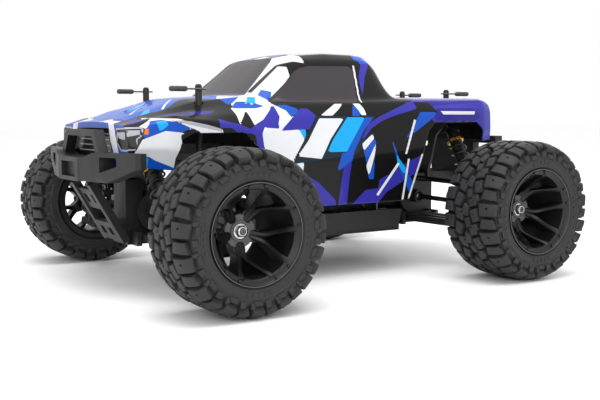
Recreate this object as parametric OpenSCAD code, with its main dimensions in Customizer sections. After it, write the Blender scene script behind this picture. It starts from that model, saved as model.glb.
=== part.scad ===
/* [Overall] */
// Distance between the front and the rear axles
wheelbase = 302; // [292:1:330]
// Distance between the left and the right wheel centre planes
track = 336; // [324:1:372]

/* [Wheels] */
// Outer diameter of the tyres
tyre_d = 130; // [124:1:140]
// Widest section of a tyre, across its sidewalls
tyre_w = 66; // [60:1:72]
// Thickness of the tyre's tread, lugs included
tread_t = 8; // [6:0.5:9]
// Diameter of the rim's bead lips
rim_d = 78.8; // [72:0.2:84]
// Width over the two bead lips
rim_w = 62.6; // [56:0.2:66]
// Diameter of the flange nut that holds a wheel
nut_d = 11.4; // [9:0.1:13]

/* [Suspension] */
// Distance from a wheel's centre plane in to its kingpin
kingpin_offset = 28; // [24:1:32]
// Distance from the centre line to the inner suspension pivots
pivot_y = 24; // [23:1:30]
// Distance from the axle down to the arm pins and up to the camber pins
link_spread = 21; // [19:0.5:22]
// How much lower the outer end of every link is than its inner end
link_drop = 2; // [0:0.5:4]
// Height of the front shock's top pin
front_shock_z = 126; // [116:1:134]
// Height of the rear shock's top pin
rear_shock_z = 147; // [136:1:152]
// Distance from the centre line to the shock's top pins
shock_top_y = 48; // [42:1:54]
// Distance from the centre line to the shock's bottom pins
shock_low_y = 98; // [90:1:104]
// Outer diameter of a shock's coil spring
spring_d = 18.6; // [17:0.2:20]
// Wire thickness of a coil spring
spring_wire = 2; // [1.4:0.2:2.4]
// Diameter of the hinge pins
pin_d = 3; // [2.4:0.1:3.4]
// Radial clearance of a turning fit
fit = 0.05; // [0.02:0.01:0.08]

/* [Steering] */
// Length of the steering arms and of the crank
steer_arm = 20; // [17:0.5:21]
// Steering angle each way
steer_angle = 22; // [10:1:24]
// Diameter of the tie rod balls
ball_d = 5.6; // [5:0.1:6]

/* [Chassis] */
// Height of the chassis plate above the ground
clearance_z = 38; // [36:0.5:40]
// Thickness of the chassis plate
plate_t = 4; // [3:0.5:4.5]
// Width of the chassis tub
tub_w = 124; // [118:1:140]

/* [Drive] */
// Height of the centre driveshaft
drive_z = 62; // [61:0.5:64]
// Teeth on the spur gear
spur_teeth = 44; // [38:1:46]
// Teeth on the motor pinion
pinion_teeth = 14; // [12:1:18]
// Gear tooth module
gear_m = 0.8; // [0.7:0.05:0.85]

/* [Body] */
// How much longer the body shell is than the wheelbase
shell_overhang = 108; // [84:1:112]
// Width of the body shell over its flares
body_w = 184; // [170:1:196]
// Height of the body's roof above the ground
roof_z = 215; // [205:1:230]
// Wall thickness of the body shell
shell_t = 1.6; // [1.2:0.1:2.4]
// Diameter of the body posts
post_d = 6; // [5:0.5:7]

/* [Bumpers] */
// Distance from the front axle to the face of the front bumper
bumper_reach = 76.5; // [74:0.5:84]
// Width over the wings of the front bumper
bumper_w = 218; // [190:1:222]

/* [Hidden] */
$fn = 48;

plastic = "#343333";
rim_black = "#232323";
steel = "#9a9c9e";

// Joint clearances: gap parts moving bodies, seam parts two pieces that are screwed together.
gap = 0.4;
seam = 0.05;

// Axle and link places, all for the front left corner.
axle_x = wheelbase / 2;
wheel_y = track / 2;
hub_z = tyre_d / 2;
kingpin_y = wheel_y - kingpin_offset;
arm_low_z = hub_z - link_spread;
arm_top_z = arm_low_z + link_drop;
camber_low_z = hub_z + link_spread;
camber_top_z = camber_low_z + link_drop;
shaft_top_z = hub_z + link_drop;
camber_x = axle_x - 10.75;
eye_t = 4.5;
eye_d = 9;

// Knuckle barrel and the cup of the stub axle that turns in it.
cup_d = 13;
cup_bore = 10;
cup_y = kingpin_y - 3.5;
barrel_d = cup_d + 6;
barrel_l = 15;
joint_ball_d = cup_bore - 0.4;
kingpin_d = 4;
ear_low_z = hub_z - 13;
ear_top_z = hub_z + 17;
ear_top_h = camber_low_z + 4 - ear_top_z;
yoke_w = 14;

// Rim and tyre, measured out from the wheel's centre plane.
lip_w = rim_w / 2;
bead_w = lip_w - 3;
barrel_r = rim_d / 2 - 4;
hub_back = cup_y + barrel_l - wheel_y + 4.5;
hub_front = 1;
nut_front = 6.2;

// Shocks stand outboard of the towers.
shock_x = axle_x + 22.5;
tower_x = axle_x + 8.5;
tower_t = 3.5;
shock_low_z = arm_top_z + 8;
open_eye = 0.9;

// Steering, behind the front axle.
tie_low_z = hub_z + 15;
tie_top_z = tie_low_z + link_drop;
stud_x = axle_x - steer_arm;
link_x = axle_x - steer_arm * (1 + cos(steer_angle)) / 2;
crank_x = link_x - steer_arm * (1 + cos(steer_angle)) / 2;
arc_play = steer_arm * (1 - cos(steer_angle)) / 2 + 0.1;
ring_bore = ball_d + 0.3;
ring_d = ring_bore + 3.2;
ring_t = 5;
rod_d = 4.5;
crank_z = tie_top_z + ring_t / 2 + 0.7;

// Chassis.
plate_top = clearance_z + plate_t;
arm_half = 20;
block_in = arm_half + gap;
block_out = arm_half + 5;
case_r = 19;
snout_r = 9;
case_w = pivot_y - 6;
servo = [40, 20, 36];
servo_z = crank_z + 6.6;
servo_back = 30;

// Drive gears, motor behind the battery's right.
spur_x = -85;
gear_w = 6;
drive_d = 6;
spur_r = gear_m * spur_teeth / 2;
pinion_r = gear_m * pinion_teeth / 2;
motor_d = 36;
motor_y = -(spur_r + pinion_r + 0.1);
motor_l = 58;

// Body outline. Each rail runs along the left side of the body, from the rear at x -204 to the nose at
// 202, and looks up its y and z at a station. The three shares stretch the rails to the sizes above.
shell_x = (wheelbase + shell_overhang) / 406;
shell_y = body_w / 184;
roof_rise = roof_z - 215;
stations = [-204, -200, -190, -168, -140, -118, -108, -101, -86, -82, -78, -71, -62, -50, -16, 20, 43, 62,
            81, 92, 105, 118, 132, 146, 160, 172, 184, 194, 199, 202];
sill_y = [[-204, 76], [-120, 86], [78, 88], [202, 80]];
sill_z = [[-204, 128], [-186, 126], [-116, 70], [78, 70], [150, 106], [202, 112]];
flank_y = [[-204, 77], [-190, 82], [-118, 89], [20, 91], [78, 92], [172, 90], [194, 85], [202, 80]];
flank_z = [[-204, 140], [-120, 118], [78, 112], [172, 126], [202, 126]];
crease_y = [[-204, 76], [-190, 81], [-140, 87], [-62, 84], [43, 85], [92, 90], [160, 89], [184, 85], [202, 78]];
crease_z = [[-204, 158], [-190, 161], [-108, 157], [43, 152], [81, 141], [105, 145], [132, 149], [160, 151],
            [184, 147], [202, 141]];
belt_y = [[-204, 73], [-190, 78], [-108, 79], [62, 77], [105, 82], [132, 80], [160, 79], [184, 76], [202, 72]];
belt_z = [[-204, 165], [-200, 167], [-190, 169], [-82, 167], [62, 163], [92, 155], [118, 154], [160, 154.5],
          [184, 151], [202, 145.5]];
shelf_y = [[-204, 66], [-190, 72], [-71, 72], [43, 72], [62, 69], [81, 65], [132, 66], [202, 60]];
shelf_z = [[-204, 168], [-200, 170], [-190, 171.5], [-82, 170.5], [62, 166.5], [81, 167], [105, 163],
           [132, 159], [160, 154], [184, 150], [202, 145.5]];
ridge_y = [[-204, 46], [-108, 50], [-50, 50], [43, 50], [62, 53], [81, 56], [132, 55], [202, 48]];
ridge_z = [[-204, 168.5], [-200, 170.5], [-190, 172], [-82, 171.5], [-78, 184], [-71, 199], [-62, 206],
           [-50, 207.5], [20, 206], [43, 201.5], [62, 187], [81, 171], [105, 168.5], [132, 165.5],
            [160, 157.5], [172, 155],
           [202, 146.5]];
brow_y = [[-204, 36], [-62, 40], [43, 42], [81, 45], [202, 38]];
brow_z = [[-204, 168.5], [-200, 170.5], [-190, 172], [-82, 172], [-78, 188], [-71, 206], [-62, 212.5],
          [-50, 213.5], [-16, 213.5], [20, 210.5], [43, 205.5], [62, 189], [81, 171.6], [105, 170.5],
          [132, 168.3], [160, 160.2], [172, 157.5], [194, 149.5], [202, 147.3]];
deck_z = [[-204, 168.5], [-200, 170.5], [-190, 172], [-108, 172.5], [-101, 177], [-86, 188.5], [-71, 207],
          [-62, 213.5], [-50, 214.7], [-16, 215], [20, 212.3], [43, 207], [62, 190], [81, 172.4],
          [105, 171.3], [132, 169.2], [160, 161], [172, 158], [194, 150], [202, 147.8]];

// Body posts and their clips.
front_post = [axle_x - 23, 57];
rear_post = [-(axle_x + 27.7), 37];
post_top = 181;
clip_z = 176.8;
clip_wire = 1.5;

bumper_x = axle_x + bumper_reach;
rear_bumper_x = -bumper_x;
nose_w = 14;
// The front bumper stays ahead of this while it is as high as the body's nose.
nose_back = bumper_x - 22.4;

module corner(front, left) {
    mirror([front ? 0 : 1, 0, 0])
        mirror([0, left ? 0 : 1, 0])
            children();
}

module rod_x(x, y, z, d, l) {
    translate([x, y, z])
        rotate([0, 90, 0])
            cylinder(d = d, h = l);
}

module rod_y(x, y, z, d, l) {
    translate([x, y, z])
        rotate([-90, 0, 0])
            cylinder(d = d, h = l);
}

module box(low, high) {
    translate(low)
        cube(high - low);
}

// A bar along Y that falls by the drop of the links.
module link_bar(x, top_z, d, inner = 0, outer = 0) {
    run = kingpin_y - pivot_y;
    angle = atan2(link_drop, run);
    translate([x, pivot_y, top_z])
        rotate([-angle, 0, 0])
            translate([0, inner, 0])
                rotate([-90, 0, 0])
                    cylinder(d = d, h = norm([run, link_drop]) - inner - outer);
}

module chassis() {
    color(plastic) {
        chassis_plate();
        tub_walls();
        for (front = [true, false], left = [true, false])
            corner(front, left)
                arm_pin_blocks();
        for (side = [-1, 1])
            servo_clamp(side);
    }
}

module chassis_plate() {
    end_x = axle_x + 29;
    half = [[end_x, 17], [axle_x - 25, 17], [axle_x - 33, 34], [95, tub_w / 2]];
    right = [for (p = half) [p[0], -p[1]]];
    rear = [for (p = half) [-p[0], -p[1]]];
    translate([0, 0, clearance_z])
        linear_extrude(plate_t)
            polygon(concat(right, [for (i = [3:-1:0]) rear[i]],
                           [for (p = half) [-p[0], p[1]]], [for (i = [3:-1:0]) half[i]]));
}

// Walls of the tub lean outward along both sides.
module tub_walls() {
    for (side = [0, 1])
        mirror([0, side, 0])
            translate([-94, 0, 0])
                rotate([90, 0, 90])
                    linear_extrude(188)
                        polygon([[tub_w / 2 - 5, clearance_z + 0.5], [tub_w / 2 - 1, clearance_z],
                                 [tub_w / 2 + 6, plate_top + 18], [tub_w / 2 + 3, plate_top + 18]]);
}

// Blocks that hold both ends of a lower arm's hinge pin.
module arm_pin_blocks() {
    for (x = [axle_x - block_out, axle_x + block_in])
        box([x, 14, clearance_z], [x + block_out - block_in, pivot_y + 6, arm_top_z + 5]);
    rod_x(axle_x - block_out, pivot_y, arm_top_z, pin_d, 2 * block_out);
}

module servo_clamp(side) {
    mirror([0, side < 0 ? 1 : 0, 0])
        box([crank_x - servo_back + 2, servo[1] / 2, clearance_z],
            [crank_x - servo_back + 18, servo[1] / 2 + 3.4, servo_z + servo[2] - 8]);
}

module gear_cases() {
    color("#2b2b2b")
        for (front = [true, false])
            corner(front, true)
                gear_case(front);
}

module gear_case(front) {
    difference() {
        union() {
            rod_y(axle_x, -case_w, shaft_top_z, 2 * case_r, 2 * case_w);
            box([axle_x - 12, -14, plate_top], [axle_x + 29, 14, shaft_top_z - 6]);
            box([axle_x - 1, -16, shaft_top_z], [tower_x - seam, 16, shaft_top_z + 30]);
            box([tower_x + tower_t + seam, -nose_w, shaft_top_z - 8], [axle_x + 29, nose_w, shaft_top_z + 29]);
            rod_x(crank_x - 6, 0, drive_z, 2 * snout_r, axle_x - crank_x);
            for (side = [-1, 1])
                rod_y(axle_x, side < 0 ? -pivot_y - 4 : case_w - 1, shaft_top_z, cup_bore + 4,
                      pivot_y + 5 - case_w);
            if (front)
                translate([crank_x, 0, drive_z])
                    cylinder(d = 5, h = servo_z - 0.3 - drive_z);
        }
        for (side = [-1, 1])
            rod_y(axle_x, side < 0 ? -pivot_y - 5 : case_w + 0.5, shaft_top_z, cup_bore,
                  pivot_y + 4.5 - case_w);
        rod_x(crank_x - 7, 0, drive_z, drive_d + 2 * fit, 8);
    }
}

module shock_towers() {
    color("#1f1f20")
        for (front = [true, false])
            corner(front, true)
                shock_tower(front ? front_shock_z : rear_shock_z);
}

module shock_tower(top_z) {
    foot_z = shaft_top_z + case_r + 1;
    half = [[case_w + 0.5, foot_z], [case_w + 1, camber_top_z - 6], [pivot_y + 6, camber_top_z - 5],
            [pivot_y + 7, camber_top_z + 8], [shock_top_y - 6, top_z - 14],
            [shock_top_y + 6, top_z - 4], [shock_top_y + 5, top_z + 6],
            [shock_top_y - 6, top_z + 8], [20, top_z - 6]];
    difference() {
        translate([tower_x, 0, 0])
            rotate([90, 0, 90])
                linear_extrude(tower_t)
                    polygon(concat(half, [for (i = [len(half) - 1:-1:0]) [-half[i][0], half[i][1]]]));
        for (side = [-1, 1])
            rod_x(tower_x - 1, side * (shock_top_y - 22), top_z - 22, 9, tower_t + 2);
    }
    for (side = [-1, 1]) {
        rod_x(tower_x + 1, side * shock_top_y, top_z, pin_d, shock_x + eye_t - tower_x);
        box([camber_x + eye_t / 2 + 3, side * pivot_y - 4, camber_top_z - 4],
            [tower_x + 1, side * pivot_y + 4, camber_top_z + 4]);
        rod_x(camber_x - eye_t / 2 - 1.5, side * pivot_y, camber_top_z, pin_d, 10);
    }
}

module body_posts() {
    color("#2a2a2a")
        for (left = [true, false]) {
            corner(true, left)
                body_post(front_post, tower_x - seam, 118);
            corner(false, left)
                body_post([-rear_post[0], rear_post[1]], tower_x + tower_t + seam, 152);
        }
}

// A post on a bracket that reaches back to the shock tower.
module body_post(at, foot_x, bracket_z) {
    inner_y = min(at[1], shock_top_y - 8);
    difference() {
        union() {
            translate([at[0], at[1], bracket_z])
                cylinder(d = post_d, h = post_top - bracket_z - 1);
            translate([at[0], at[1], post_top - 1])
                cylinder(d = post_d - 1.6, h = 1);
            box([min(at[0] - 3, foot_x), at[1] - 3.5, bracket_z - 3],
                [max(at[0] + 3, foot_x), at[1] + 3.5, bracket_z + 3]);
            box([foot_x < at[0] ? foot_x : foot_x - 4, inner_y - 3.5, bracket_z - 3],
                [foot_x < at[0] ? foot_x + 3 : foot_x, at[1] + 3.5, bracket_z + 3]);
        }
        rod_x(at[0] - post_d, at[1], clip_z, clip_wire + 0.4, 2 * post_d);
    }
}

// Two rails and a slotted cross plate brace the front bumper against the chassis.
module skid_plate() {
    low = [axle_x + 29, clearance_z + 2];
    high = [bumper_x - 16, 93.4];
    rise = atan2(high[1] - low[1], high[0] - low[0]);
    run = norm(high - low);
    rail_t = 7;
    color("#3a3939")
        translate([low[0] + seam + rail_t * sin(rise), 0, low[1]])
            rotate([0, -rise, 0])
                difference() {
                    union() {
                        for (side = [-1, 1])
                            translate([0, side * 21 - 4, 0])
                                cube([run, 8, rail_t]);
                        translate([2, -22, 0])
                            cube([20, 44, 4]);
                        translate([run * 0.55, -22, 2])
                            cube([run * 0.35, 44, 3]);
                    }
                    for (side = [-1, 1], along = [8, run * 0.66])
                        translate([along, side * 9 - 4, -1])
                            cube([along == 8 ? 8 : run * 0.14, 8, 10]);
                }
}

module front_bumper() {
    color(plastic) {
        difference() {
            union() {
                box([bumper_x - 40, -25, 97.4], [nose_back, 25, 110]);
                box([nose_back - 0.5, -25, 97.4], [bumper_x, 25, 118]);
                for (side = [0, 1])
                    mirror([0, side, 0])
                        bumper_wing();
            }
            box([bumper_x - 5, -17, 101], [bumper_x + 1, 17, 114]);
            box([bumper_x - 41, -19, 96], [bumper_x - 9, 19, 114]);
        }
        bumper_hoop();
        box([bumper_x - 47, -13, 98], [bumper_x - 8, 13, 103]);
    }
}

// A wing sweeps back and up to its tip and holds a rectangular light opening.
module bumper_wing() {
    tip = bumper_w / 2;
    difference() {
        translate([0, 0, 98])
            linear_extrude(26)
                polygon([[nose_back, 20], [bumper_x, 24], [bumper_x - 6, 50], [bumper_x - 19, tip - 4],
                         [bumper_x - 22, tip], [bumper_x - 27, tip], [bumper_x - 27, tip - 8],
                         [bumper_x - 20, 52], [nose_back, 34]]);
        translate([bumper_x - 50, 0, 0])
            rotate([90, 0, 90])
                linear_extrude(60)
                    polygon([[18, 90], [40, 90], [tip + 2, 112], [tip + 2, 90]]);
        translate([bumper_x - 50, 0, 0])
            rotate([90, 0, 90])
                linear_extrude(60)
                    polygon([[19, 118.2], [32, 118.2], [46, 122.5], [tip + 2, 123.5], [tip + 2, 126],
                        [19, 126]]);
        translate([bumper_x - 50, 0, 0])
            rotate([90, 0, 90])
                linear_extrude(60)
                    polygon([[56, 106], [80, 112], [80, 119], [56, 119]]);
    }
}

module bumper_hoop() {
    outer = [[-49, 117], [-35, 141.5], [35, 141.5], [49, 117]];
    inner = [[-41.5, 116], [-30, 136], [30, 136], [41.5, 116]];
    translate([bumper_x - 20, 0, 0])
        rotate([90, 0, 90])
            linear_extrude(9)
                difference() {
                    polygon(outer);
                    polygon(inner);
                }
}

module rear_bumper() {
    half_w = 78;
    color(plastic)
        difference() {
            union() {
                translate([0, 0, 104])
                    linear_extrude(28)
                        polygon([[rear_bumper_x + 15, -half_w], [rear_bumper_x + 5, -half_w],
                                 [rear_bumper_x, -40], [rear_bumper_x, 40],
                                 [rear_bumper_x + 5, half_w], [rear_bumper_x + 15, half_w],
                                 [rear_bumper_x + 9, 38], [rear_bumper_x + 9, -38]]);
                for (side = [-1, 1])
                    box([rear_bumper_x + 8, side * 10 - 4, 82], [-(axle_x + 29) - seam, side * 10 + 4, 92]);
                box([rear_bumper_x + 2, -30, 84], [rear_bumper_x + 9.5, 30, 108]);
            }
            for (side = [-1, 1])
                box([rear_bumper_x - 1, side * 52 - 14, 112], [rear_bumper_x + 20, side * 52 + 14, 124]);
        }
}

// Outer point j of the left half of section x, from the sill up to the centre line.
function rail(x, y_of, z_of) = [x * shell_x, lookup(x, y_of) * shell_y, lookup(x, z_of)];
function lift(p, s) = [p[0], p[1], p[2] + (p[2] > 172 ? s * (p[2] - 172) / 43 : 0)];
function half_section(x) = [
    rail(x, sill_y, sill_z), rail(x, flank_y, flank_z), rail(x, crease_y, crease_z),
    rail(x, belt_y, belt_z), rail(x, shelf_y, shelf_z), lift(rail(x, ridge_y, ridge_z), roof_rise),
    lift(rail(x, brow_y, brow_z), roof_rise), lift([x * shell_x, 30, lookup(x, deck_z)], roof_rise),
    lift([x * shell_x, 0, lookup(x, deck_z) + 0.4], roof_rise)
];
function ring(half) = concat(half, [for (j = [len(half) - 2:-1:0]) [half[j][0], -half[j][1], half[j][2]]]);
outer_rings = [for (x = stations) ring(half_section(x))];
last_i = len(stations) - 1;
last_j = len(outer_rings[0]) - 1;
function along(i, j) = outer_rings[min(i + 1, last_i)][j] - outer_rings[max(i - 1, 0)][j];
function around(i, j) = outer_rings[i][min(j + 1, last_j)] - outer_rings[i][max(j - 1, 0)];
function inward(i, j) = let (n = cross(along(i, j), around(i, j))) n / norm(n);
function end_shift(i) = i == 0 ? [shell_t, 0, 0] : i == last_i ? [-shell_t, 0, 0] : [0, 0, 0];
function open_foot(j) = j == 0 || j == last_j ? [0, 0, -30] : [0, 0, 0];
inner_rings = [for (i = [0:last_i]) [for (j = [0:last_j])
    outer_rings[i][j] + shell_t * inward(i, j) + end_shift(i) + open_foot(j)]];

module loft(rings) {
    n = len(rings[0]);
    last = len(rings) - 1;
    sides = [for (i = [0:last - 1], j = [0:n - 1]) let (a = i * n + j, b = i * n + (j + 1) % n)
        each [[a, b + n, b], [a, a + n, b + n]]];
    caps = [[for (j = [0:n - 1]) j], [for (j = [n - 1:-1:0]) last * n + j]];
    polyhedron([for (r = rings) each r], concat(sides, caps), convexity = 6);
}

module body_shell() {
    color("#2360c4")
        difference() {
            loft(outer_rings);
            loft(inner_rings);
            arch_cut([[axle_x + 14, 60], [axle_x + 14, 118], [axle_x + 8, 134], [axle_x - 2, 139],
                      [axle_x - 50, 139], [axle_x - 64, 127], [axle_x - 74, 100], [axle_x - 78, 60]]);
            arch_cut([[-axle_x + 63, 60], [-axle_x + 63, 72], [-axle_x + 40, 138], [-axle_x + 32, 146],
                      [-axle_x - 30, 147], [-axle_x - 39, 140], [-axle_x - 45, 118], [-axle_x - 45, 60]]);
            for (left = [true, false]) {
                corner(true, left)
                    post_hole(front_post);
                corner(false, left)
                    post_hole([-rear_post[0], rear_post[1]]);
            }
        }
}

module arch_cut(outline) {
    translate([0, body_w, 0])
        rotate([90, 0, 0])
            linear_extrude(2 * body_w)
                polygon(outline);
}

module post_hole(at) {
    translate([at[0], at[1], 140])
        cylinder(d = post_d + 2.4, h = 50);
}

module battery() {
    color("#39404a")
        box([-75, 6, plate_top], [64, 53, plate_top + 25]);
}

module speed_controller() {
    color("#26282c") {
        difference() {
            box([0, -53, plate_top], [58, -10, plate_top + 26]);
            for (i = [0:6])
                box([4 + i * 7.4, -54, plate_top + 18], [8 + i * 7.4, -9, plate_top + 27]);
        }
    }
}

module motor() {
    color("#6e7074") {
        rod_x(spur_x + gear_w + 1.5, motor_y, drive_z, motor_d, motor_l);
        rod_x(spur_x - 1, motor_y, drive_z, 3.1, gear_w + 4);
    }
    color("#1f1f20")
        box([spur_x + gear_w + 12, motor_y - 16, plate_top], [spur_x + gear_w + 48, motor_y + 16, drive_z - 8]);
}

// Teeth are straight sided and thinner than their gaps, so a pair turns freely.
module gear(teeth, turn) {
    r = gear_m * teeth / 2;
    root = r - 1.15 * gear_m;
    tip = r + 0.8 * gear_m;
    pitch = 360 / teeth;
    rotate(turn)
        linear_extrude(gear_w)
            polygon([for (i = [0:teeth - 1], p = [[root, -0.34], [tip, -0.13], [tip, 0.13], [root, 0.34]])
                p[0] * [cos((i + p[1]) * pitch), sin((i + p[1]) * pitch)]]);
}

module spur_gear() {
    color("#d8d8d4")
        translate([spur_x, 0, drive_z])
            rotate([0, 90, 0])
                gear(spur_teeth, 90);
    color(steel)
        rod_x(-(crank_x - 6) - 6, 0, drive_z, drive_d, 2 * crank_x);
}

module pinion() {
    color(steel)
        translate([spur_x, motor_y, drive_z])
            rotate([0, 90, 0])
                difference() {
                    gear(pinion_teeth, -90 + 180 / pinion_teeth);
                    translate([0, 0, -1])
                        cylinder(d = 3.1 + 2 * fit, h = gear_w + 2);
                }
}

module steering_servo() {
    color("#2c2f36") {
        box([crank_x - servo_back, -servo[1] / 2, servo_z], [crank_x - servo_back + servo[0], servo[1] / 2,
            servo_z + servo[2]]);
        translate([crank_x, 0, servo_z - 0.2])
            cylinder(d = 12, h = 1);
    }
}

module steering_crank() {
    color("#303030")
        difference() {
            union() {
                translate([crank_x, 0, crank_z])
                    cylinder(d = 11, h = 5.6);
                box([crank_x, -3.5, crank_z], [crank_x + steer_arm, 3.5, crank_z + 3.5]);
                translate([crank_x + steer_arm, 0, crank_z])
                    cylinder(d = 7, h = 3.5);
                translate([crank_x + steer_arm, 0, tie_top_z - ring_t / 2 - 0.6])
                    cylinder(d = pin_d, h = ring_t + 2);
            }
            translate([crank_x, 0, crank_z - 1])
                cylinder(d = 5 + 2 * fit, h = 8);
        }
}

// The link slides sideways and carries a ball for each tie rod on the end of its bar.
module centre_link() {
    bar_low = tie_top_z - ring_t / 2;
    reach = pivot_y - ring_d / 2 - 1.2;
    color(steel) {
        difference() {
            union() {
                box([link_x - 2.5, -reach, bar_low], [link_x + 2.5, reach, bar_low + ring_t]);
                translate([link_x, 0, bar_low])
                    cylinder(d = 9, h = ring_t);
                for (side = [-1, 1])
                    box([link_x - 2.5, side * (reach - 1.5) - 1.5, bar_low + ring_t - 0.1],
                        [link_x + 2.5, side * (reach - 1.5) + 1.5, bar_low + ring_t + 4]);
            }
            slot_hole(link_x, 0, bar_low - 1, pin_d + 0.3, arc_play, ring_t + 2);
        }
        for (side = [-1, 1]) {
            box([link_x - 2.5, side > 0 ? reach - 1.5 : -pivot_y - 2.5, bar_low + ring_t + 1.6],
                [link_x + 2.5, side > 0 ? pivot_y + 2.5 : 1.5 - reach, bar_low + ring_t + 4]);
            translate([link_x, side * pivot_y, tie_top_z])
                cylinder(d = 2.6, h = ring_t / 2 + 2);
            translate([link_x, side * pivot_y, tie_top_z])
                sphere(d = ball_d);
        }
    }
}

// A round hole stretched along X by play each way.
module slot_hole(x, y, z, d, play, h) {
    for (end = [-1, 1])
        translate([x + end * play, y, z])
            cylinder(d = d, h = h);
    translate([x - play, y - d / 2, z])
        cube([2 * play, d, h]);
}

module tie_rod_fl() {
    corner(true, true)
        tie_rod();
}

module tie_rod_fr() {
    corner(true, false)
        tie_rod();
}

module tie_rod() {
    color(steel)
        difference() {
            union() {
                link_bar(link_x, tie_top_z, rod_d, ring_bore / 2 + 0.6, ring_bore / 2 + 0.6);
                translate([link_x, pivot_y, tie_top_z - ring_t / 2])
                    cylinder(d = ring_d, h = ring_t);
                for (end = [-1, 1])
                    translate([link_x + end * arc_play, kingpin_y, tie_low_z - ring_t / 2])
                        cylinder(d = ring_d, h = ring_t);
            }
            translate([link_x, pivot_y, tie_top_z - ring_t])
                cylinder(d = ring_bore, h = 2 * ring_t);
            slot_hole(link_x, kingpin_y, tie_low_z - ring_t, ring_bore, arc_play, 2 * ring_t);
        }
}

module lower_arm() {
    out_y = kingpin_y - 5;
    low = arm_low_z - 2;
    color(plastic)
        difference() {
            union() {
                rod_x(axle_x - arm_half, pivot_y, arm_top_z, 8, 2 * arm_half);
                translate([0, 0, low])
                    linear_extrude(6.5)
                        difference() {
                            polygon([[axle_x - arm_half, pivot_y], [axle_x + arm_half, pivot_y],
                                [axle_x + 17, 108], [axle_x + 14.5, out_y + 6], [axle_x + 8, out_y + 6],
                                [axle_x + 8, kingpin_y - 20], [axle_x - 8, kingpin_y - 20],
                                [axle_x - 8, out_y + 6], [axle_x - 14.5, out_y + 6]]);
                            polygon([[axle_x - 13, 36], [axle_x - 3, 36], [axle_x - 3, 78], [axle_x - 11, 78]]);
                            polygon([[axle_x + 13, 36], [axle_x + 3, 36], [axle_x + 3, 78], [axle_x + 12, 78]]);
                            polygon([[axle_x - 10, 84], [axle_x + 11, 84], [axle_x + 9, 108], [axle_x - 8, 108]]);
                        }
                for (side = [-1, 1])
                    rod_x(axle_x + side * 11.25 - 3.25, kingpin_y, arm_low_z, 8, 6.5);
                box([axle_x + 8, shock_low_y - 6, low],
                    [shock_x - eye_t / 2 - 1, shock_low_y + 6, shock_low_z + 3]);
                rod_x(shock_x - eye_t / 2 - 2, shock_low_y, shock_low_z, pin_d, eye_t + 4);
                rod_x(axle_x - 14, kingpin_y, arm_low_z, pin_d, 28);
            }
            rod_x(axle_x - arm_half - 1, pivot_y, arm_top_z, pin_d + 2 * fit, 2 * arm_half + 2);
        }
}

module camber_link() {
    color(steel)
        difference() {
            union() {
                link_bar(camber_x, camber_top_z, 5, 3, 3);
                rod_x(camber_x - eye_t / 2, pivot_y, camber_top_z, eye_d, eye_t);
                rod_x(camber_x - eye_t / 2, kingpin_y, camber_low_z, eye_d, eye_t);
            }
            rod_x(camber_x - 5, pivot_y, camber_top_z, pin_d + 2 * fit, 10);
            rod_x(camber_x - 5, kingpin_y, camber_low_z, pin_d + 2 * fit, 10);
        }
}

module driveshaft() {
    color("#8a8c90") {
        link_bar(axle_x, shaft_top_z, 5);
        translate([axle_x, pivot_y, shaft_top_z])
            sphere(d = joint_ball_d);
        translate([axle_x, kingpin_y, hub_z])
            sphere(d = joint_ball_d);
    }
}

// A web with an upper and a lower ear; the kingpins point into the knuckle.
module hub_carrier_web(back_y, front_y) {
    box([axle_x - yoke_w / 2, back_y, arm_low_z], [axle_x + yoke_w / 2, front_y, camber_low_z + 4]);
    rod_x(axle_x - yoke_w / 2, kingpin_y, arm_low_z, 8, yoke_w);
    rod_x(camber_x - eye_t / 2 - 1.5, kingpin_y, camber_low_z, pin_d, 12);
}

module caster_block() {
    color(plastic)
        difference() {
            union() {
                hub_carrier_web(kingpin_y - 17, kingpin_y - 11);
                box([axle_x - 11, kingpin_y - 17, ear_low_z + 2], [axle_x + 11, kingpin_y - 11, ear_top_z - 6]);
                box([axle_x - yoke_w / 2, kingpin_y - 12, ear_top_z],
                    [axle_x + yoke_w / 2, kingpin_y + 6, ear_top_z + ear_top_h]);
                box([axle_x - yoke_w / 2, kingpin_y - 12, arm_low_z],
                    [axle_x + yoke_w / 2, kingpin_y + 4, ear_low_z]);
                translate([axle_x, kingpin_y, ear_low_z - 1])
                    cylinder(d = kingpin_d, h = 6);
                translate([axle_x, kingpin_y, ear_top_z - 9])
                    cylinder(d = kingpin_d, h = 10);
            }
            rod_y(axle_x, kingpin_y - 20, hub_z, 16, 12);
            rod_x(axle_x - 10, kingpin_y, arm_low_z, pin_d + 2 * fit, 20);
        }
}

module knuckle() {
    color("#2c2c2c")
        difference() {
            union() {
                rod_y(axle_x, cup_y + 0.5, hub_z, barrel_d, barrel_l);
                translate([axle_x, kingpin_y, ear_low_z + gap])
                    cylinder(d = 10, h = ear_top_z - ear_low_z - 2 * gap);
                box([stud_x, kingpin_y - 3.5, hub_z + 5], [axle_x, kingpin_y + 3.5, hub_z + 10]);
                translate([stud_x, kingpin_y, hub_z + 5])
                    cylinder(d = 7, h = 5);
                translate([stud_x, kingpin_y, hub_z + 9])
                    cylinder(d = 2.6, h = tie_low_z - hub_z - 9);
                translate([stud_x, kingpin_y, tie_low_z])
                    sphere(d = ball_d);
            }
            rod_y(axle_x, kingpin_y - 10, hub_z, cup_d + 2 * fit, 40);
            translate([axle_x, kingpin_y, ear_low_z])
                cylinder(d = kingpin_d + 2 * fit, h = 6);
            translate([axle_x, kingpin_y, ear_top_z - 9.5])
                cylinder(d = kingpin_d + 2 * fit, h = 10);
        }
}

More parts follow.
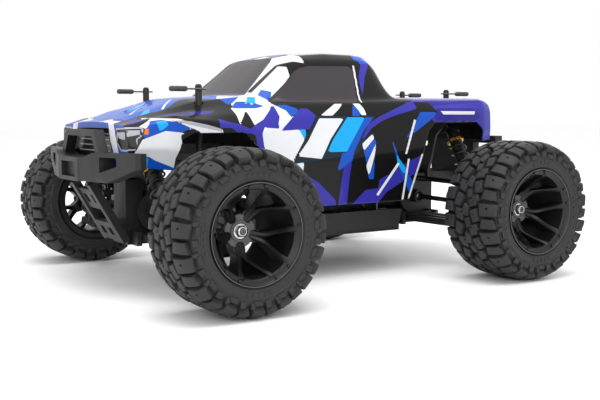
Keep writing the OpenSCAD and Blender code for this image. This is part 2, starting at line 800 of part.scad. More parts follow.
module rear_hub() {
    color(plastic)
        difference() {
            union() {
                hub_carrier_web(kingpin_y - 10, kingpin_y + 5);
                rod_y(axle_x, kingpin_y - 10, hub_z, barrel_d, barrel_l + 7);
            }
            rod_y(axle_x, kingpin_y - 11, hub_z, cup_d + 2 * fit, 40);
            rod_x(axle_x - 10, kingpin_y, arm_low_z, pin_d + 2 * fit, 20);
        }
}

// Places its children with Z running up the shock, from the bottom pin's side to the top pin.
module along_shock(top_z) {
    lean = atan2(shock_low_y - shock_top_y, top_z - shock_low_z);
    translate([shock_x, shock_top_y, top_z])
        rotate([lean, 0, 0])
            children();
}

function shock_length(top_z) = norm([shock_low_y - shock_top_y, top_z - shock_low_z]);
function shock_tube(top_z) = shock_length(top_z) * 0.55;

module shock_body(top_z) {
    tube = shock_tube(top_z);
    color("#222222")
        along_shock(top_z)
            difference() {
                union() {
                    rod_x(-eye_t / 2, 0, 0, eye_d + 1, eye_t);
                    translate([0, 0, -9])
                        cylinder(d = 7, h = 5.5);
                    translate([0, 0, -14])
                        cylinder(d = 15, h = 6);
                    translate([0, 0, -tube])
                        cylinder(d = 13, h = tube - 13);
                    translate([0, 0, -18.5])
                        cylinder(d = spring_d, h = 3.5);
                }
                rod_x(-eye_t, 0, 0, pin_d + 2 * fit, 2 * eye_t);
                translate([0, 0, -tube + 3])
                    cylinder(d = 9.5, h = tube - 17);
                translate([0, 0, -tube - 1])
                    cylinder(d = pin_d + 0.4, h = 6);
            }
}

module shock_shaft(top_z) {
    length = shock_length(top_z);
    tube = shock_tube(top_z);
    color(steel)
        along_shock(top_z)
            difference() {
                union() {
                    translate([0, 0, -length + 4])
                        cylinder(d = pin_d, h = length - tube + 13);
                    translate([0, 0, -tube + 15.5])
                        cylinder(d = 9, h = 2);
                    translate([0, 0, -length + 8])
                        cylinder(d = spring_d, h = 2.5);
                    translate([0, 0, -length + 4])
                        cylinder(d = 6.4, h = 5);
                    rod_x(-eye_t / 2, 0, -length, eye_d + 2, eye_t);
                }
                rod_x(-eye_t, 0, -length, pin_d + 2 * open_eye, 2 * eye_t);
            }
}

// The coil's two end turns lie close, the others are open.
module shock_spring(top_z) {
    low = -shock_length(top_z) + 10.5 + spring_wire / 2 + gap / 2;
    high = -18.5 - spring_wire / 2 - gap / 2;
    turns = 7;
    steps = 16;
    sides = 6;
    mean_r = (spring_d - spring_wire) / 2;
    n = turns * steps;
    function rise(k) = let (t = k / n) low + (high - low) * (t - 0.035 * sin(360 * t));
    function coil(k, s) = let (a = 360 * k / steps, r = mean_r + spring_wire / 2 * cos(360 * s / sides))
        [r * cos(a), r * sin(a), rise(k) + spring_wire / 2 * sin(360 * s / sides)];
    points = [for (k = [0:n], s = [0:sides - 1]) coil(k, s)];
    skin = [for (k = [0:n - 1], s = [0:sides - 1]) let (a = k * sides + s, b = k * sides + (s + 1) % sides)
        each [[a, b, b + sides], [a, b + sides, a + sides]]];
    ends = [[for (s = [sides - 1:-1:0]) s], [for (s = [0:sides - 1]) n * sides + s]];
    color("#1c1c1e")
        along_shock(top_z)
            polyhedron(points, concat(skin, ends), convexity = 12);
}

// Wheel pieces are turned about the wheel's own axis, with their Z pointing outboard.
module at_wheel() {
    translate([axle_x, wheel_y, hub_z])
        rotate([-90, 0, 0])
            children();
}

module wheel() {
    color(rim_black)
        at_wheel() {
            rim();
            stub_axle();
            difference() {
                translate([0, 0, hub_front + seam])
                    cylinder(d = 10, h = nut_front - hub_front - seam, $fn = 6);
                translate([0, 0, -1])
                    cylinder(r = 3 + seam, h = 12);
            }
            difference() {
                translate([0, 0, hub_front + seam])
                    cylinder(d = nut_d + 0.01, h = 1.2);
                translate([0, 0, -1])
                    cylinder(r = 3 + seam, h = 12);
            }
        }
}

module rim() {
    inner_r = barrel_r - 2.1;
    rotate_extrude($fn = 72)
        polygon([[inner_r, -lip_w + 4], [barrel_r + 1, -lip_w], [rim_d / 2, -lip_w], [rim_d / 2, -lip_w + 2.6],
                 [barrel_r, -bead_w], [barrel_r, bead_w], [rim_d / 2, lip_w - 2.6], [rim_d / 2, lip_w],
                 [barrel_r + 1, lip_w], [inner_r, lip_w - 4]]);
    difference() {
        union() {
            translate([0, 0, hub_back])
                cylinder(r = 13, h = hub_front - hub_back);
            for (i = [0:4], side = [-1, 1])
                rotate(72 * i + 13 * side)
                    spoke(inner_r);
        }
        translate([0, 0, -40])
            cylinder(r = 3 + seam, h = 80);
    }
}

// A spoke rises from the sunken hub to the outer lip.
module spoke(inner_r) {
    translate([0, 3, 0])
        rotate([90, 0, 0])
            linear_extrude(6)
                polygon([[8, hub_back + 0.5], [16, hub_back + 1], [24, 0], [inner_r + 1, 12],
                    [inner_r + 1, lip_w - 5],
                         [24, 10], [15, hub_front], [8, hub_front]]);
}

module stub_axle() {
    mouth = cup_y - wheel_y;
    difference() {
        union() {
            translate([0, 0, mouth])
                cylinder(d = cup_d, h = 11);
            translate([0, 0, mouth + 10])
                cylinder(r = 3, h = nut_front + 1.8 - mouth - 10);
            translate([0, 0, hub_back - 3.6])
                cylinder(d = 14, h = 3.5, $fn = 6);
        }
        translate([0, 0, mouth - 1])
            cylinder(d = cup_bore, h = 9.5);
    }
}

// The tyre is a hollow carcass, open toward the rim between its two beads.
module tyre() {
    w = tyre_w / 2;
    r = tyre_d / 2;
    bead_r = rim_d / 2;
    outside = [[barrel_r + seam, bead_w - 0.1], [bead_r + 0.3, lip_w - 2.9], [bead_r + 3, w - 1.5],
               [r - 15, w], [r - 7, w - 1.5], [r - 3, w - 5], [r, w - 9]];
    inside = [[r - tread_t, w - 13], [r - tread_t - 3, w - 6], [r - 15, w - 3.5], [bead_r + 4, w - 5],
              [bead_r, bead_w - 5], [barrel_r + seam, bead_w - 5]];
    function flip(points) = [for (i = [len(points) - 1:-1:0]) [points[i][0], -points[i][1]]];
    color("#2f2f30")
        at_wheel()
            rotate_extrude($fn = 72)
                polygon(concat(outside, flip(outside), flip(inside), inside));
}

// A clip's straight leg passes through the post, and its other leg springs around the post's side.
module body_clip(at) {
    out = 12;
    color("#4a4a4a") {
        rod_x(at[0] - 7, at[1], clip_z, clip_wire, out + 8);
        rod_x(at[0] - 4, at[1] + post_d / 2 + 1.5, clip_z, clip_wire, out + 5);
        box([at[0] + out, at[1] - 1.4, clip_z - 1.5], [at[0] + out + 3, at[1] + 6, clip_z + 1.5]);
        box([at[0] + out + 2, at[1] - 1.5, clip_z - 2.4], [at[0] + out + 17, at[1] + 6.1, clip_z + 2.4]);
    }
}

module lower_arm_fl() {
    corner(true, true)
        lower_arm();
}

module lower_arm_fr() {
    corner(true, false)
        lower_arm();
}

module lower_arm_rl() {
    corner(false, true)
        lower_arm();
}

module lower_arm_rr() {
    corner(false, false)
        lower_arm();
}

module camber_link_fl() {
    corner(true, true)
        camber_link();
}

module camber_link_fr() {
    corner(true, false)
        camber_link();
}

module camber_link_rl() {
    corner(false, true)
        camber_link();
}

module camber_link_rr() {
    corner(false, false)
        camber_link();
}

module driveshaft_fl() {
    corner(true, true)
        driveshaft();
}

module driveshaft_fr() {
    corner(true, false)
        driveshaft();
}

module driveshaft_rl() {
    corner(false, true)
        driveshaft();
}

module driveshaft_rr() {
    corner(false, false)
        driveshaft();
}

module caster_block_fl() {
    corner(true, true)
        caster_block();
}

module caster_block_fr() {
    corner(true, false)
        caster_block();
}

module knuckle_fl() {
    corner(true, true)
        knuckle();
}

module knuckle_fr() {
    corner(true, false)
        knuckle();
}

module rear_hub_rl() {
    corner(false, true)
        rear_hub();
}

module rear_hub_rr() {
    corner(false, false)
        rear_hub();
}

module wheel_fl() {
    corner(true, true)
        wheel();
}

module wheel_fr() {
    corner(true, false)
        wheel();
}

module wheel_rl() {
    corner(false, true)
        wheel();
}

module wheel_rr() {
    corner(false, false)
        wheel();
}

module tyre_fl() {
    corner(true, true)
        tyre();
}

module tyre_fr() {
    corner(true, false)
        tyre();
}

module tyre_rl() {
    corner(false, true)
        tyre();
}

module tyre_rr() {
    corner(false, false)
        tyre();
}

module shock_body_fl() {
    corner(true, true)
        shock_body(front_shock_z);
}

module shock_body_fr() {
    corner(true, false)
        shock_body(front_shock_z);
}

module shock_body_rl() {
    corner(false, true)
        shock_body(rear_shock_z);
}

module shock_body_rr() {
    corner(false, false)
        shock_body(rear_shock_z);
}

module shock_shaft_fl() {
    corner(true, true)
        shock_shaft(front_shock_z);
}

module shock_shaft_fr() {
    corner(true, false)
        shock_shaft(front_shock_z);
}

module shock_shaft_rl() {
    corner(false, true)
        shock_shaft(rear_shock_z);
}

module shock_shaft_rr() {
    corner(false, false)
        shock_shaft(rear_shock_z);
}

module shock_spring_fl() {
    corner(true, true)
        shock_spring(front_shock_z);
}

module shock_spring_fr() {
    corner(true, false)
        shock_spring(front_shock_z);
}

module shock_spring_rl() {
    corner(false, true)
        shock_spring(rear_shock_z);
}

module shock_spring_rr() {
    corner(false, false)
        shock_spring(rear_shock_z);
}

module body_clip_fl() {
    corner(true, true)
        body_clip(front_post);
}

module body_clip_fr() {
    corner(true, false)
        body_clip(front_post);
}

module body_clip_rl() {
    corner(false, true)
        body_clip([-rear_post[0], rear_post[1]]);
}

module body_clip_rr() {
    corner(false, false)
        body_clip([-rear_post[0], rear_post[1]]);
}

chassis();
gear_cases();
shock_towers();
body_posts();
skid_plate();
front_bumper();
rear_bumper();
body_shell();
battery();
speed_controller();
motor();
spur_gear();
pinion();
steering_servo();
steering_crank();
centre_link();
tie_rod_fl();
tie_rod_fr();
lower_arm_fl();
lower_arm_fr();
lower_arm_rl();
lower_arm_rr();
camber_link_fl();
camber_link_fr();
camber_link_rl();
camber_link_rr();
driveshaft_fl();
driveshaft_fr();
driveshaft_rl();
driveshaft_rr();
caster_block_fl();
caster_block_fr();
knuckle_fl();
knuckle_fr();
rear_hub_rl();
rear_hub_rr();
shock_body_fl();
shock_body_fr();
shock_body_rl();
shock_body_rr();
shock_shaft_fl();
shock_shaft_fr();
shock_shaft_rl();
shock_shaft_rr();
shock_spring_fl();
shock_spring_fr();
shock_spring_rl();
shock_spring_rr();
wheel_fl();
wheel_fr();
wheel_rl();
wheel_rr();
tyre_fl();
tyre_fr();
tyre_rl();
tyre_rr();
body_clip_fl();
body_clip_fr();
body_clip_rl();
body_clip_rr();
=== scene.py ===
import math
import bmesh
import bpy
import numpy as np
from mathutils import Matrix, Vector


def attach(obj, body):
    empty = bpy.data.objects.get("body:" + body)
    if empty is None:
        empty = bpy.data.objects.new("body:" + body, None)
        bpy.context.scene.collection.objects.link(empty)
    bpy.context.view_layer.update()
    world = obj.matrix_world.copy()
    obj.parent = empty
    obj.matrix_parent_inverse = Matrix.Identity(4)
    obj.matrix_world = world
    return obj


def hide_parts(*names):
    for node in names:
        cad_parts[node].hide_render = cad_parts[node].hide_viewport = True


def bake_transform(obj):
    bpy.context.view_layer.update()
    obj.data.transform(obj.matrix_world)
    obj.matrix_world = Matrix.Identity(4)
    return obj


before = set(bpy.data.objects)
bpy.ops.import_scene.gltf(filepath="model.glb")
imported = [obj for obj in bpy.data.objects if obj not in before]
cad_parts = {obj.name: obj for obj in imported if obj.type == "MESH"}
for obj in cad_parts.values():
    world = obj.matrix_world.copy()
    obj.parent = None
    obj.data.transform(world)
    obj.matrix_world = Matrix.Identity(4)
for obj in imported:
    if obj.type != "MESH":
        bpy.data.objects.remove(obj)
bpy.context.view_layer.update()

scene = bpy.context.scene
MM = 0.001


# Studio. A pale seamless floor, one large soft box overhead, a second one on the camera's side
# and a weak fill from behind, as for a catalogue picture. None of it is part of the truck.
def linear(code):
    """An sRGB hex colour as linear red, green, blue and alpha."""
    parts = [int(code[i:i + 2], 16) / 255 for i in (1, 3, 5)]
    return [c / 12.92 if c <= 0.04045 else ((c + 0.055) / 1.055) ** 2.4 for c in parts] + [1]


def add(tree, kind, sockets=None, **settings):
    """Adds a node, with its settings, and with each socket given a value or linked to an output."""
    made = tree.nodes.new("ShaderNode" + kind)
    for name, value in settings.items():
        setattr(made, name, value)
    for name, value in (sockets or {}).items():
        if isinstance(value, bpy.types.NodeSocket):
            tree.links.new(value, made.inputs[name])
        else:
            made.inputs[name].default_value = value
    return made


def finish(name, **surface):
    """A new material, its node tree and its shader with those values on the shader's own sockets."""
    made = bpy.data.materials.new(name)
    made.use_nodes = True
    shader = made.node_tree.nodes["Principled BSDF"]
    for socket, value in surface.items():
        shader.inputs[socket.replace("_", " ")].default_value = value
    return made, made.node_tree, shader


def mesh_piece(name, verts, faces, material, smooth=False):
    """A mesh object from points in millimetres and faces, flat or smooth."""
    data = bpy.data.meshes.new(name)
    data.from_pydata([tuple(v) for v in np.asarray(verts, float) * MM], [], faces)
    data.polygons.foreach_set("use_smooth", [smooth] * len(data.polygons))
    data.materials.append(material)
    data.update()
    made = bpy.data.objects.new(name, data)
    scene.collection.objects.link(made)
    return made


floor_paint, tree, shader = finish("matt_white_floor", Roughness=0.6, Specular_IOR_Level=0.15)
dust = add(tree, "TexNoise", {"Scale": 6.0, "Detail": 3.0})
shade = add(tree, "Mix", {0: dust.outputs["Fac"], 6: linear("#FCFCFC"), 7: linear("#FFFFFF")},
            data_type="RGBA")
tree.links.new(shade.outputs[2], shader.inputs["Base Color"])
reach = 14000
floor_corners = [(-reach, -reach, 0), (reach, -reach, 0), (reach, reach, 0), (-reach, reach, 0)]
floor = mesh_piece("floor", floor_corners, [(0, 1, 2, 3)], floor_paint)

scene.world = bpy.data.worlds.new("studio_air")
scene.world.use_nodes = True
air = scene.world.node_tree.nodes["Background"]
air.inputs["Color"].default_value = linear("#FFFFFF")
air.inputs["Strength"].default_value = 1.0
scene.view_settings.view_transform = "Standard"


def soft_box(name, place, target, size, power):
    """A rectangular lamp that looks at the target; metres and watts."""
    lamp = bpy.data.lights.new(name, "AREA")
    lamp.shape = "RECTANGLE"
    lamp.size, lamp.size_y = size
    lamp.energy = power
    made = bpy.data.objects.new(name, lamp)
    made.location = place
    made.rotation_euler = (Vector(target) - Vector(place)).to_track_quat("-Z", "Y").to_euler()
    scene.collection.objects.link(made)


soft_box("overhead_box", (0.2, 0.3, 1.5), (0, 0, 0.1), (1.3, 0.9), 15)
soft_box("side_box", (1.0, 1.5, 0.8), (0, 0.1, 0.1), (0.9, 0.6), 6)
soft_box("back_fill", (-1.2, -1.1, 0.9), (0, 0, 0.1), (1.0, 0.7), 4)

# The camera stands low off the front left corner and looks slightly down
CAMERA_DIP, CAMERA_HEADING = 0.0924, 0.5758
lens = bpy.data.cameras.new("camera")
lens.lens = 54.83
lens.sensor_width = 36
camera = bpy.data.objects.new("camera", lens)
camera.location = (0.49266, 0.78228, 0.15379)
camera.rotation_euler = (math.pi / 2 - CAMERA_DIP, 0, math.pi - CAMERA_HEADING)
scene.collection.objects.link(camera)
scene.camera = camera


# Tyres. Soft black rubber on a moulded carcass: smooth bulging sidewalls and a tread of chunky
# angular lugs whose outer rows wrap over the shoulders. Each is glued to its rim's beads.
def skin(rings, caps=False):
    """Points and faces of a surface through equal closed rings, with a face at each end for caps."""
    n = len(rings[0])
    points = [p for r in rings for p in r]
    faces = [(i * n + j, i * n + (j + 1) % n, (i + 1) * n + (j + 1) % n, (i + 1) * n + j)
             for i in range(len(rings) - 1) for j in range(n)]
    if caps:
        faces += [tuple(range(n))[::-1], tuple(range((len(rings) - 1) * n, len(rings) * n))]
    return points, faces


def lathe(profile, steps):
    """Rings of (radius, height) points turned about the third axis, as points and faces."""
    rings = [[(r * math.cos(2 * math.pi * k / steps), r * math.sin(2 * math.pi * k / steps), h)
              for k in range(steps)] for r, h in profile]
    return skin(rings)


def join(parts):
    """Several (points, faces) as one."""
    points, faces = [], []
    for p, f in parts:
        faces += [tuple(i + len(points) for i in face) for face in f]
        points += [tuple(q) for q in p]
    return points, faces


def mottled(name, low, high, patch_mm, grain_mm, depth_mm, dull=0.08, **surface):
    """A moulded or plated finish: patches of two near colours, an uneven sheen and a fine relief."""
    made, tree, shader = finish(name, **surface)
    where = add(tree, "TexCoord").outputs["Object"]
    patches = add(tree, "TexNoise", {"Vector": where, "Scale": 1000 / patch_mm, "Detail": 4.0,
                                     "Roughness": 0.6})
    tone = add(tree, "Mix", {0: patches.outputs["Fac"], 6: linear(low), 7: linear(high)},
               data_type="RGBA")
    tree.links.new(tone.outputs[2], shader.inputs["Base Color"])
    rough = shader.inputs["Roughness"].default_value
    sheen = add(tree, "MapRange", {"Value": patches.outputs["Fac"], "From Min": 0.3, "From Max": 0.7,
                                   "To Min": rough - dull, "To Max": rough + dull})
    tree.links.new(sheen.outputs["Result"], shader.inputs["Roughness"])
    relief = add(tree, "TexNoise", {"Vector": where, "Scale": 1000 / grain_mm, "Detail": 2.0})
    bump = add(tree, "Bump", {"Height": relief.outputs["Fac"], "Strength": 0.3, "Distance": depth_mm * MM})
    tree.links.new(bump.outputs["Normal"], shader.inputs["Normal"])
    return made


# Black rubber greys with handling: faint broad patches, and a fine pebbling left by the mould
rubber = mottled("moulded_tyre_rubber", "#1D1C1D", "#353334", 18, 0.8, 0.2, Roughness=0.6,
                 Specular_IOR_Level=0.35)
# No lug reaches past the tyre's own outer radius or half its width
TYRE_R, TYRE_HALF_W = 65.0, 33.2
# Distances round the tread are measured at this radius
TREAD_R = 60.0
# The carcass profile from the crown to the outer bead: (radius, distance from the wheel's middle plane)
flank_profile = [(59.2, 0), (59.1, 8), (58.9, 15), (58.3, 21), (57.2, 25.5), (55.6, 28.6), (53.4, 30.8),
                 (51, 32), (48.8, 32.5), (48.5, 32.9), (47.6, 32.9), (47.2, 32.4), (45, 32.2), (43, 31.6),
                 (42.6, 31.9), (41.7, 31.7), (41.3, 30.9), (40.2, 30.1), (39.5, 29.2), (38.5, 28.2),
                 (36.5, 27.4), (36.2, 23)]
steps_at = np.array(flank_profile)
span = np.concatenate([[0], np.cumsum(np.linalg.norm(np.diff(steps_at, axis=0), axis=1))])


def on_tyre(angle, s, height):
    """A point at an angle, s millimetres from the crown round the flank, that far above the carcass."""
    a, side = abs(s), 1 if s >= 0 else -1
    slope_run = 2.5
    r, y = np.interp(a, span, steps_at[:, 0]), np.interp(a, span, steps_at[:, 1])
    ahead, behind = min(a + slope_run, span[-1]), max(a - slope_run, 0)
    dr = np.interp(ahead, span, steps_at[:, 0]) - np.interp(behind, span, steps_at[:, 0])
    dy = np.interp(ahead, span, steps_at[:, 1]) - np.interp(behind, span, steps_at[:, 1])
    if a < slope_run:
        dr, dy = 0, 1
    size = math.hypot(dr, dy)
    r = min(r + height * dy / size, TYRE_R)
    y = side * min(y - height * dr / size, TYRE_HALF_W)
    return r * math.cos(angle), r * math.sin(angle), y


def lug(corners, height, pit=False):
    """A block whose four (millimetres round, s) corners are given in order round its top."""
    along, across = 4, 5
    flare, pit_size, pit_depth = 1.2, 0.62, 2.2
    mid = np.mean(corners, axis=0)
    rings = []
    # The foot sinks into the carcass, the wall leans in a little and the top edge is broken
    for grow, up in ((0.9, -0.6), (0.25, height - 0.7), (-0.45, height)):
        c = [np.array(q) + grow * (np.array(q) - mid) / max(np.linalg.norm(np.array(q) - mid), 0.1) * flare
             for q in corners]
        grid = {}
        for i in range(across + 1):
            for j in range(along + 1):
                u, v = i / across, j / along
                t, s = (1 - u) * ((1 - v) * c[0] + v * c[1]) + u * ((1 - v) * c[3] + v * c[2])
                grid[i, j] = on_tyre(t / TREAD_R, s, up)
        rings.append(grid)
    edge = ([(0, j) for j in range(along)] + [(i, along) for i in range(across)]
            + [(across, j) for j in range(along, 0, -1)] + [(i, 0) for i in range(across, 0, -1)])
    n = len(edge)
    points = [rings[k][e] for k in range(3) for e in edge]
    faces = [(k * n + j, k * n + (j + 1) % n, (k + 1) * n + (j + 1) % n, (k + 1) * n + j)
             for k in range(2) for j in range(n)]
    top = {e: 2 * n + j for j, e in enumerate(edge)}
    for i in range(1, across):
        for j in range(1, along):
            top[i, j] = len(points)
            points.append(rings[2][i, j])
    for i in range(across):
        for j in range(along):
            quad = (top[i, j], top[i, j + 1], top[i + 1, j + 1], top[i + 1, j])
            if pit and i == 2 and j == 1:
                here = [np.array(points[q]) for q in quad]
                mid = sum(here) / 4
                axis = np.array([mid[0], mid[1], 0]) / math.hypot(mid[0], mid[1])
                low = [mid + pit_size * (h - mid) for h in here]
                start = len(points)
                points += [tuple(h) for h in low] + [tuple(h - pit_depth * axis) for h in low]
                for k in range(4):
                    m = (k + 1) % 4
                    faces += [(quad[k], quad[m], start + m, start + k),
                              (start + k, start + m, start + 4 + m, start + 4 + k)]
                faces.append((start + 4, start + 5, start + 6, start + 7))
            else:
                faces.append(quad)
    return points, faces


# One pitch of the tread, in millimetres round the crown and from it across one half
PITCHES = 15
pitch = 2 * math.pi * TREAD_R / PITCHES
half_pitch = [
    ([(1, 15.5), (11.5, 17.5), (11, 30), (0.5, 31.5)], 6.4, True),
    ([(14, 19), (22, 17), (22.5, 29.5), (14.5, 28)], 6.2, False),
    ([(13.2, 31), (18, 32), (17.6, 35.5), (12.8, 35)], 3.4, False),
    ([(24, 30.5), (27, 31), (26.6, 35), (23.2, 34.6)], 3.2, False),
    ([(0.5, 33.6), (9, 33.2), (8.4, 36.2), (1.4, 36.4)], 2.4, False),
    ([(8, 5), (17.5, 9), (15.5, 15.5), (5.5, 12.2)], 5.9, True),
    ([(20.5, 5), (25.4, 9.5), (23.6, 14.2), (18.6, 12)], 5.9, False),
    ([(-2.2, 3.4), (4.4, 4.4), (2.6, 11.8), (-3, 12.6)], 5.9, False),
]
centre_row = [([(2, -2.4), (11, -5), (13, 2.2), (4.5, 3)], 5.8),
              ([(15, -1.6), (22.2, 0.2), (21, 5.2), (14, 3.4)], 5.8)]


def tread():
    """Every lug of a tyre: both halves, half a pitch apart, and the row along the middle."""
    blocks = []
    for k in range(PITCHES):
        for side in (1, -1):
            shift = pitch * (k + (0.5 if side < 0 else 0))
            for corners, height, pit in half_pitch:
                quad = [(t + shift, side * s) for t, s in corners]
                blocks.append(lug(quad if side > 0 else quad[::-1], height, pit))
        for corners, height in centre_row:
            blocks.append(lug([(t + pitch * k, s) for t, s in corners], height))
    return blocks


def sidewall_bars():
    """Short raised ribs in groups of five, a plain moulded pattern on the outer sidewall."""
    outer, low, rise, half_rib = 46.6, 31.95, 0.75, 0.018
    bars = []
    for group in range(4):
        for k in range(5):
            turn = math.pi / 2 * group + 0.11 * (k - 2)
            inner, a, b = 44.2 + 0.3 * (k % 2), turn - half_rib, turn + half_rib
            base = [(inner, a), (inner, b), (outer, b), (outer, a)]
            bars.append(skin([[(r * math.cos(t), r * math.sin(t), h) for r, t in base]
                              for h in (low, low + rise)], caps=True))
    return bars


carcass = flank_profile[::-1] + [(r, -y) for r, y in flank_profile[1:]]
inner_wall = [(40, -26), (50, -29), (55, -24), (56.6, -12), (56.6, 12), (55, 24), (50, 29), (40, 26),
              (36.2, 23)]
tyre_points, tyre_faces = join([lathe(carcass + inner_wall, 96)] + tread() + sidewall_bars())
# Each corner's signs: (front, left)
CORNERS = {"fl": (1, 1), "fr": (1, -1), "rl": (-1, 1), "rr": (-1, -1)}
AXLE_X, WHEEL_Y, HUB_Z = 151.0, 168.0, 65.0


def at_wheel(points, corner, turn):
    """Points round the wheel's axis, third axis outboard, moved to that corner of the truck."""
    front, left = CORNERS[corner]
    p = np.asarray(points, float)
    c, s = math.cos(turn), math.sin(turn)
    x, z = p[:, 0] * c - p[:, 1] * s, p[:, 0] * s + p[:, 1] * c
    return np.stack([front * AXLE_X - x, left * (WHEEL_Y + p[:, 2]), HUB_Z + z], axis=1)


def closed_piece(name, points, faces, material, sharp=None, smooth=True):
    """A mesh piece with each face turned outward, and sharp at edges over that many degrees."""
    made = mesh_piece(name, points, faces, material, smooth)
    work = bmesh.new()
    work.from_mesh(made.data)
    bmesh.ops.recalc_face_normals(work, faces=work.faces)
    work.to_mesh(made.data)
    work.free()
    made.data.update()
    if sharp:
        made.data.set_sharp_from_angle(angle=math.radians(sharp))
    return made


# How far each wheel has rolled on, in radians
turns = {"fl": 0.0, "fr": 0.3, "rl": 0.04, "rr": 0.9}
for corner, turn in turns.items():
    tyre = closed_piece("lugged_tyre_" + corner, at_wheel(tyre_points, corner, turn), tyre_faces, rubber, 32)
    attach(tyre, "wheel_" + corner)
    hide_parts("tyre_" + corner)


# Rims. Glass-filled nylon moulded black in one piece: a deep barrel, two bead lips and five
# spokes that fork into a Y on their way up from the sunken hub to the outer lip.
# The mould's spark-eroded face leaves a fine grain and a slightly uneven satin sheen
nylon = mottled("moulded_black_nylon", "#0B0B0C", "#161617", 11, 0.5, 0.1, Roughness=0.4,
                Specular_IOR_Level=0.4)
# The hub's tabbed washer is moulded in a lighter grey so that it stands out from the rim
grey_nylon = mottled("moulded_grey_nylon", "#454548", "#5C5C60", 5, 0.5, 0.1, Roughness=0.5, IOR=1.53)
# Bright plating over turned steel, with the faint marks that a nut driver leaves; on the wheel nut's flange
# and lock ring this brightness is a painted highlight
plated_steel_and_flange_highlight = mottled("nickel_plated_steel_and_painted_flange_highlight", "#B4B2B0", "#DEDCDA", 4, 1.5, 0.02, 0.05, Metallic=1.0,
                 Roughness=0.2)
# Steel left bare takes a thin brown-grey bloom; on the wheel nut's hex the same darker colour is painted
# shade, the nut being one steel part
bare_steel_and_nut_shade = mottled("bare_steel_and_painted_nut_shade", "#555457", "#7A797C", 6, 0.7, 0.03, Metallic=1.0, Roughness=0.3)


def polar(r, degrees, y):
    """A point of the wheel: radius, degrees round it and distance outboard."""
    return r * math.cos(math.radians(degrees)), r * math.sin(math.radians(degrees)), y


def beam(stations):
    """A spoke's arm through (radius, degrees, front, depth, width) stations, front edges chamfered."""
    rings = []
    for r, degrees, front, depth, width in stations:
        half = [(0.5, front - depth), (0.5, front - 1.0), (0.22, front + 0.4)]
        rings.append([polar(r, degrees + math.degrees(side * width / r), y)
                      for side, y in [(-s, y) for s, y in half] + half[::-1]])
    return skin(rings, caps=True)


def prism(outline, low, high, chamfer=0.0):
    """A plate with that (x, y) outline, its top edge drawn in by the chamfer."""
    mid = np.mean(outline, axis=0)
    ring = [(x, y, low) for x, y in outline]
    edge = [(x, y, high - chamfer) for x, y in outline]
    inner = []
    for x, y in outline:
        d = np.array([x, y]) - mid
        size = max(np.linalg.norm(d), 1e-6)
        q = mid + d * (1 - chamfer / size)
        inner.append((q[0], q[1], high))
    return skin([ring, edge, inner] if chamfer else [ring, edge], caps=True)


SPOKES, SPOKE_AT = 5, 54
spoke_gap = 360 / SPOKES
barrel = [(39.4, 31.2), (39.1, 31.3), (38.7, 31.2), (38.2, 30.4), (36.6, 29.4), (34.9, 28.6), (34.0, 27.6),
          (33.5, 25), (33.1, 10), (32.6, -12), (32.3, -26), (33.2, -30), (35, -31.3), (39.4, -31.3),
          (39.4, -28.9), (35.4, -28.3), (35.4, 28.3), (39.4, 28.8), (39.4, 31.2)]
hub_wall = [(3.05, -12), (12.6, -12), (13, -11), (12.4, -2), (11.6, 0.2), (10.4, 1), (3.05, 1), (3.05, -12)]
# Each spoke is a root on the hub and two arms: (radius, degrees off the root, front, depth, width)
root = [(8.5, 0, 0.6, 11, 13), (13, 0, 1.6, 11, 12), (16.5, 0, 3.2, 12, 10.5), (19.5, 0, 5, 12, 7.5)]
arm = [(10, 9, 1, 10, 5), (15, 7, 3.1, 11, 5), (18.5, 6.5, 5.6, 11, 4.8), (22, 9, 8.8, 12, 4.4),
       (26, 14.5, 14.4, 13, 3.9), (30, 19, 21.6, 16, 3.9), (32.6, 21, 27.2, 19, 4.6),
       (34.8, 21.5, 29.2, 19, 6)]
rim_parts = [lathe(barrel, 96), lathe(hub_wall, 48)]
for k in range(SPOKES):
    at = SPOKE_AT + spoke_gap * k
    for side, stations in ((0, root), (-1, arm), (1, arm)):
        rim_parts.append(beam([(r, at + side * off, *rest) for r, off, *rest in stations]))


def hexagon(r, x=0.0, y=0.0):
    return [(r * math.cos(t) + x, r * math.sin(t) + y) for t in np.linspace(0, 2 * math.pi, 7)[:6]]


# Ten small screws near the lip, two between each pair of spokes
SCREW_CIRCLE, SCREW_R, SCREW_OFF = 36.9, 1.25, 10.5
screw_parts = [prism(hexagon(SCREW_R, *polar(SCREW_CIRCLE, 90 + spoke_gap * k + side * SCREW_OFF, 0)[:2]),
                     29.6, 31.2, 0.3)
               for k in range(SPOKES) for side in (-1, 1)]

# The tabbed washer behind the nut, then the flanged lock nut, and the axle's tip inside it
tab_half = [(8.2, 36), (8.4, 26), (11.4, 15), (11.6, 19), (13.2, 17)]
tabs = []
for k in range(SPOKES):
    at = 90 + spoke_gap * k
    tabs += [polar(r, at - off, 0)[:2] for r, off in tab_half] + [polar(13.5, at, 0)[:2]]
    tabs += [polar(r, at + off, 0)[:2] for r, off in tab_half[:0:-1]]
washer_parts = [prism(tabs, 0.2, 2.9, 0.4),
                lathe([(6.4, 2.2), (8.6, 2.2), (8.2, 3.9), (6.6, 3.9), (6.4, 2.2)], 40),
                lathe([(39.0, 31.0), (39.5, 31.0), (39.5, 31.45), (39.0, 31.45), (39.0, 31.0)], 96)]
axle_tip = [(0.05, 6.5), (2.5, 6.5), (2.5, 7.5), (2.1, 7.9), (1.2, 7.9), (1.1, 6.9), (0.05, 6.9)]
axle = [(0.05, -31), (6.5, -31), (6.5, -20.6), (3, -20), (3, 2.5), (0.05, 2.5)]
nut_parts = [prism(hexagon(5.1), 3.6, 6.6, 0.5), lathe(axle_tip, 24), lathe(axle, 32)]
flange = [(3.1, 2.9), (5.95, 2.9), (6.15, 3.3), (5.9, 3.9), (3.1, 4.3), (3.1, 2.9)]
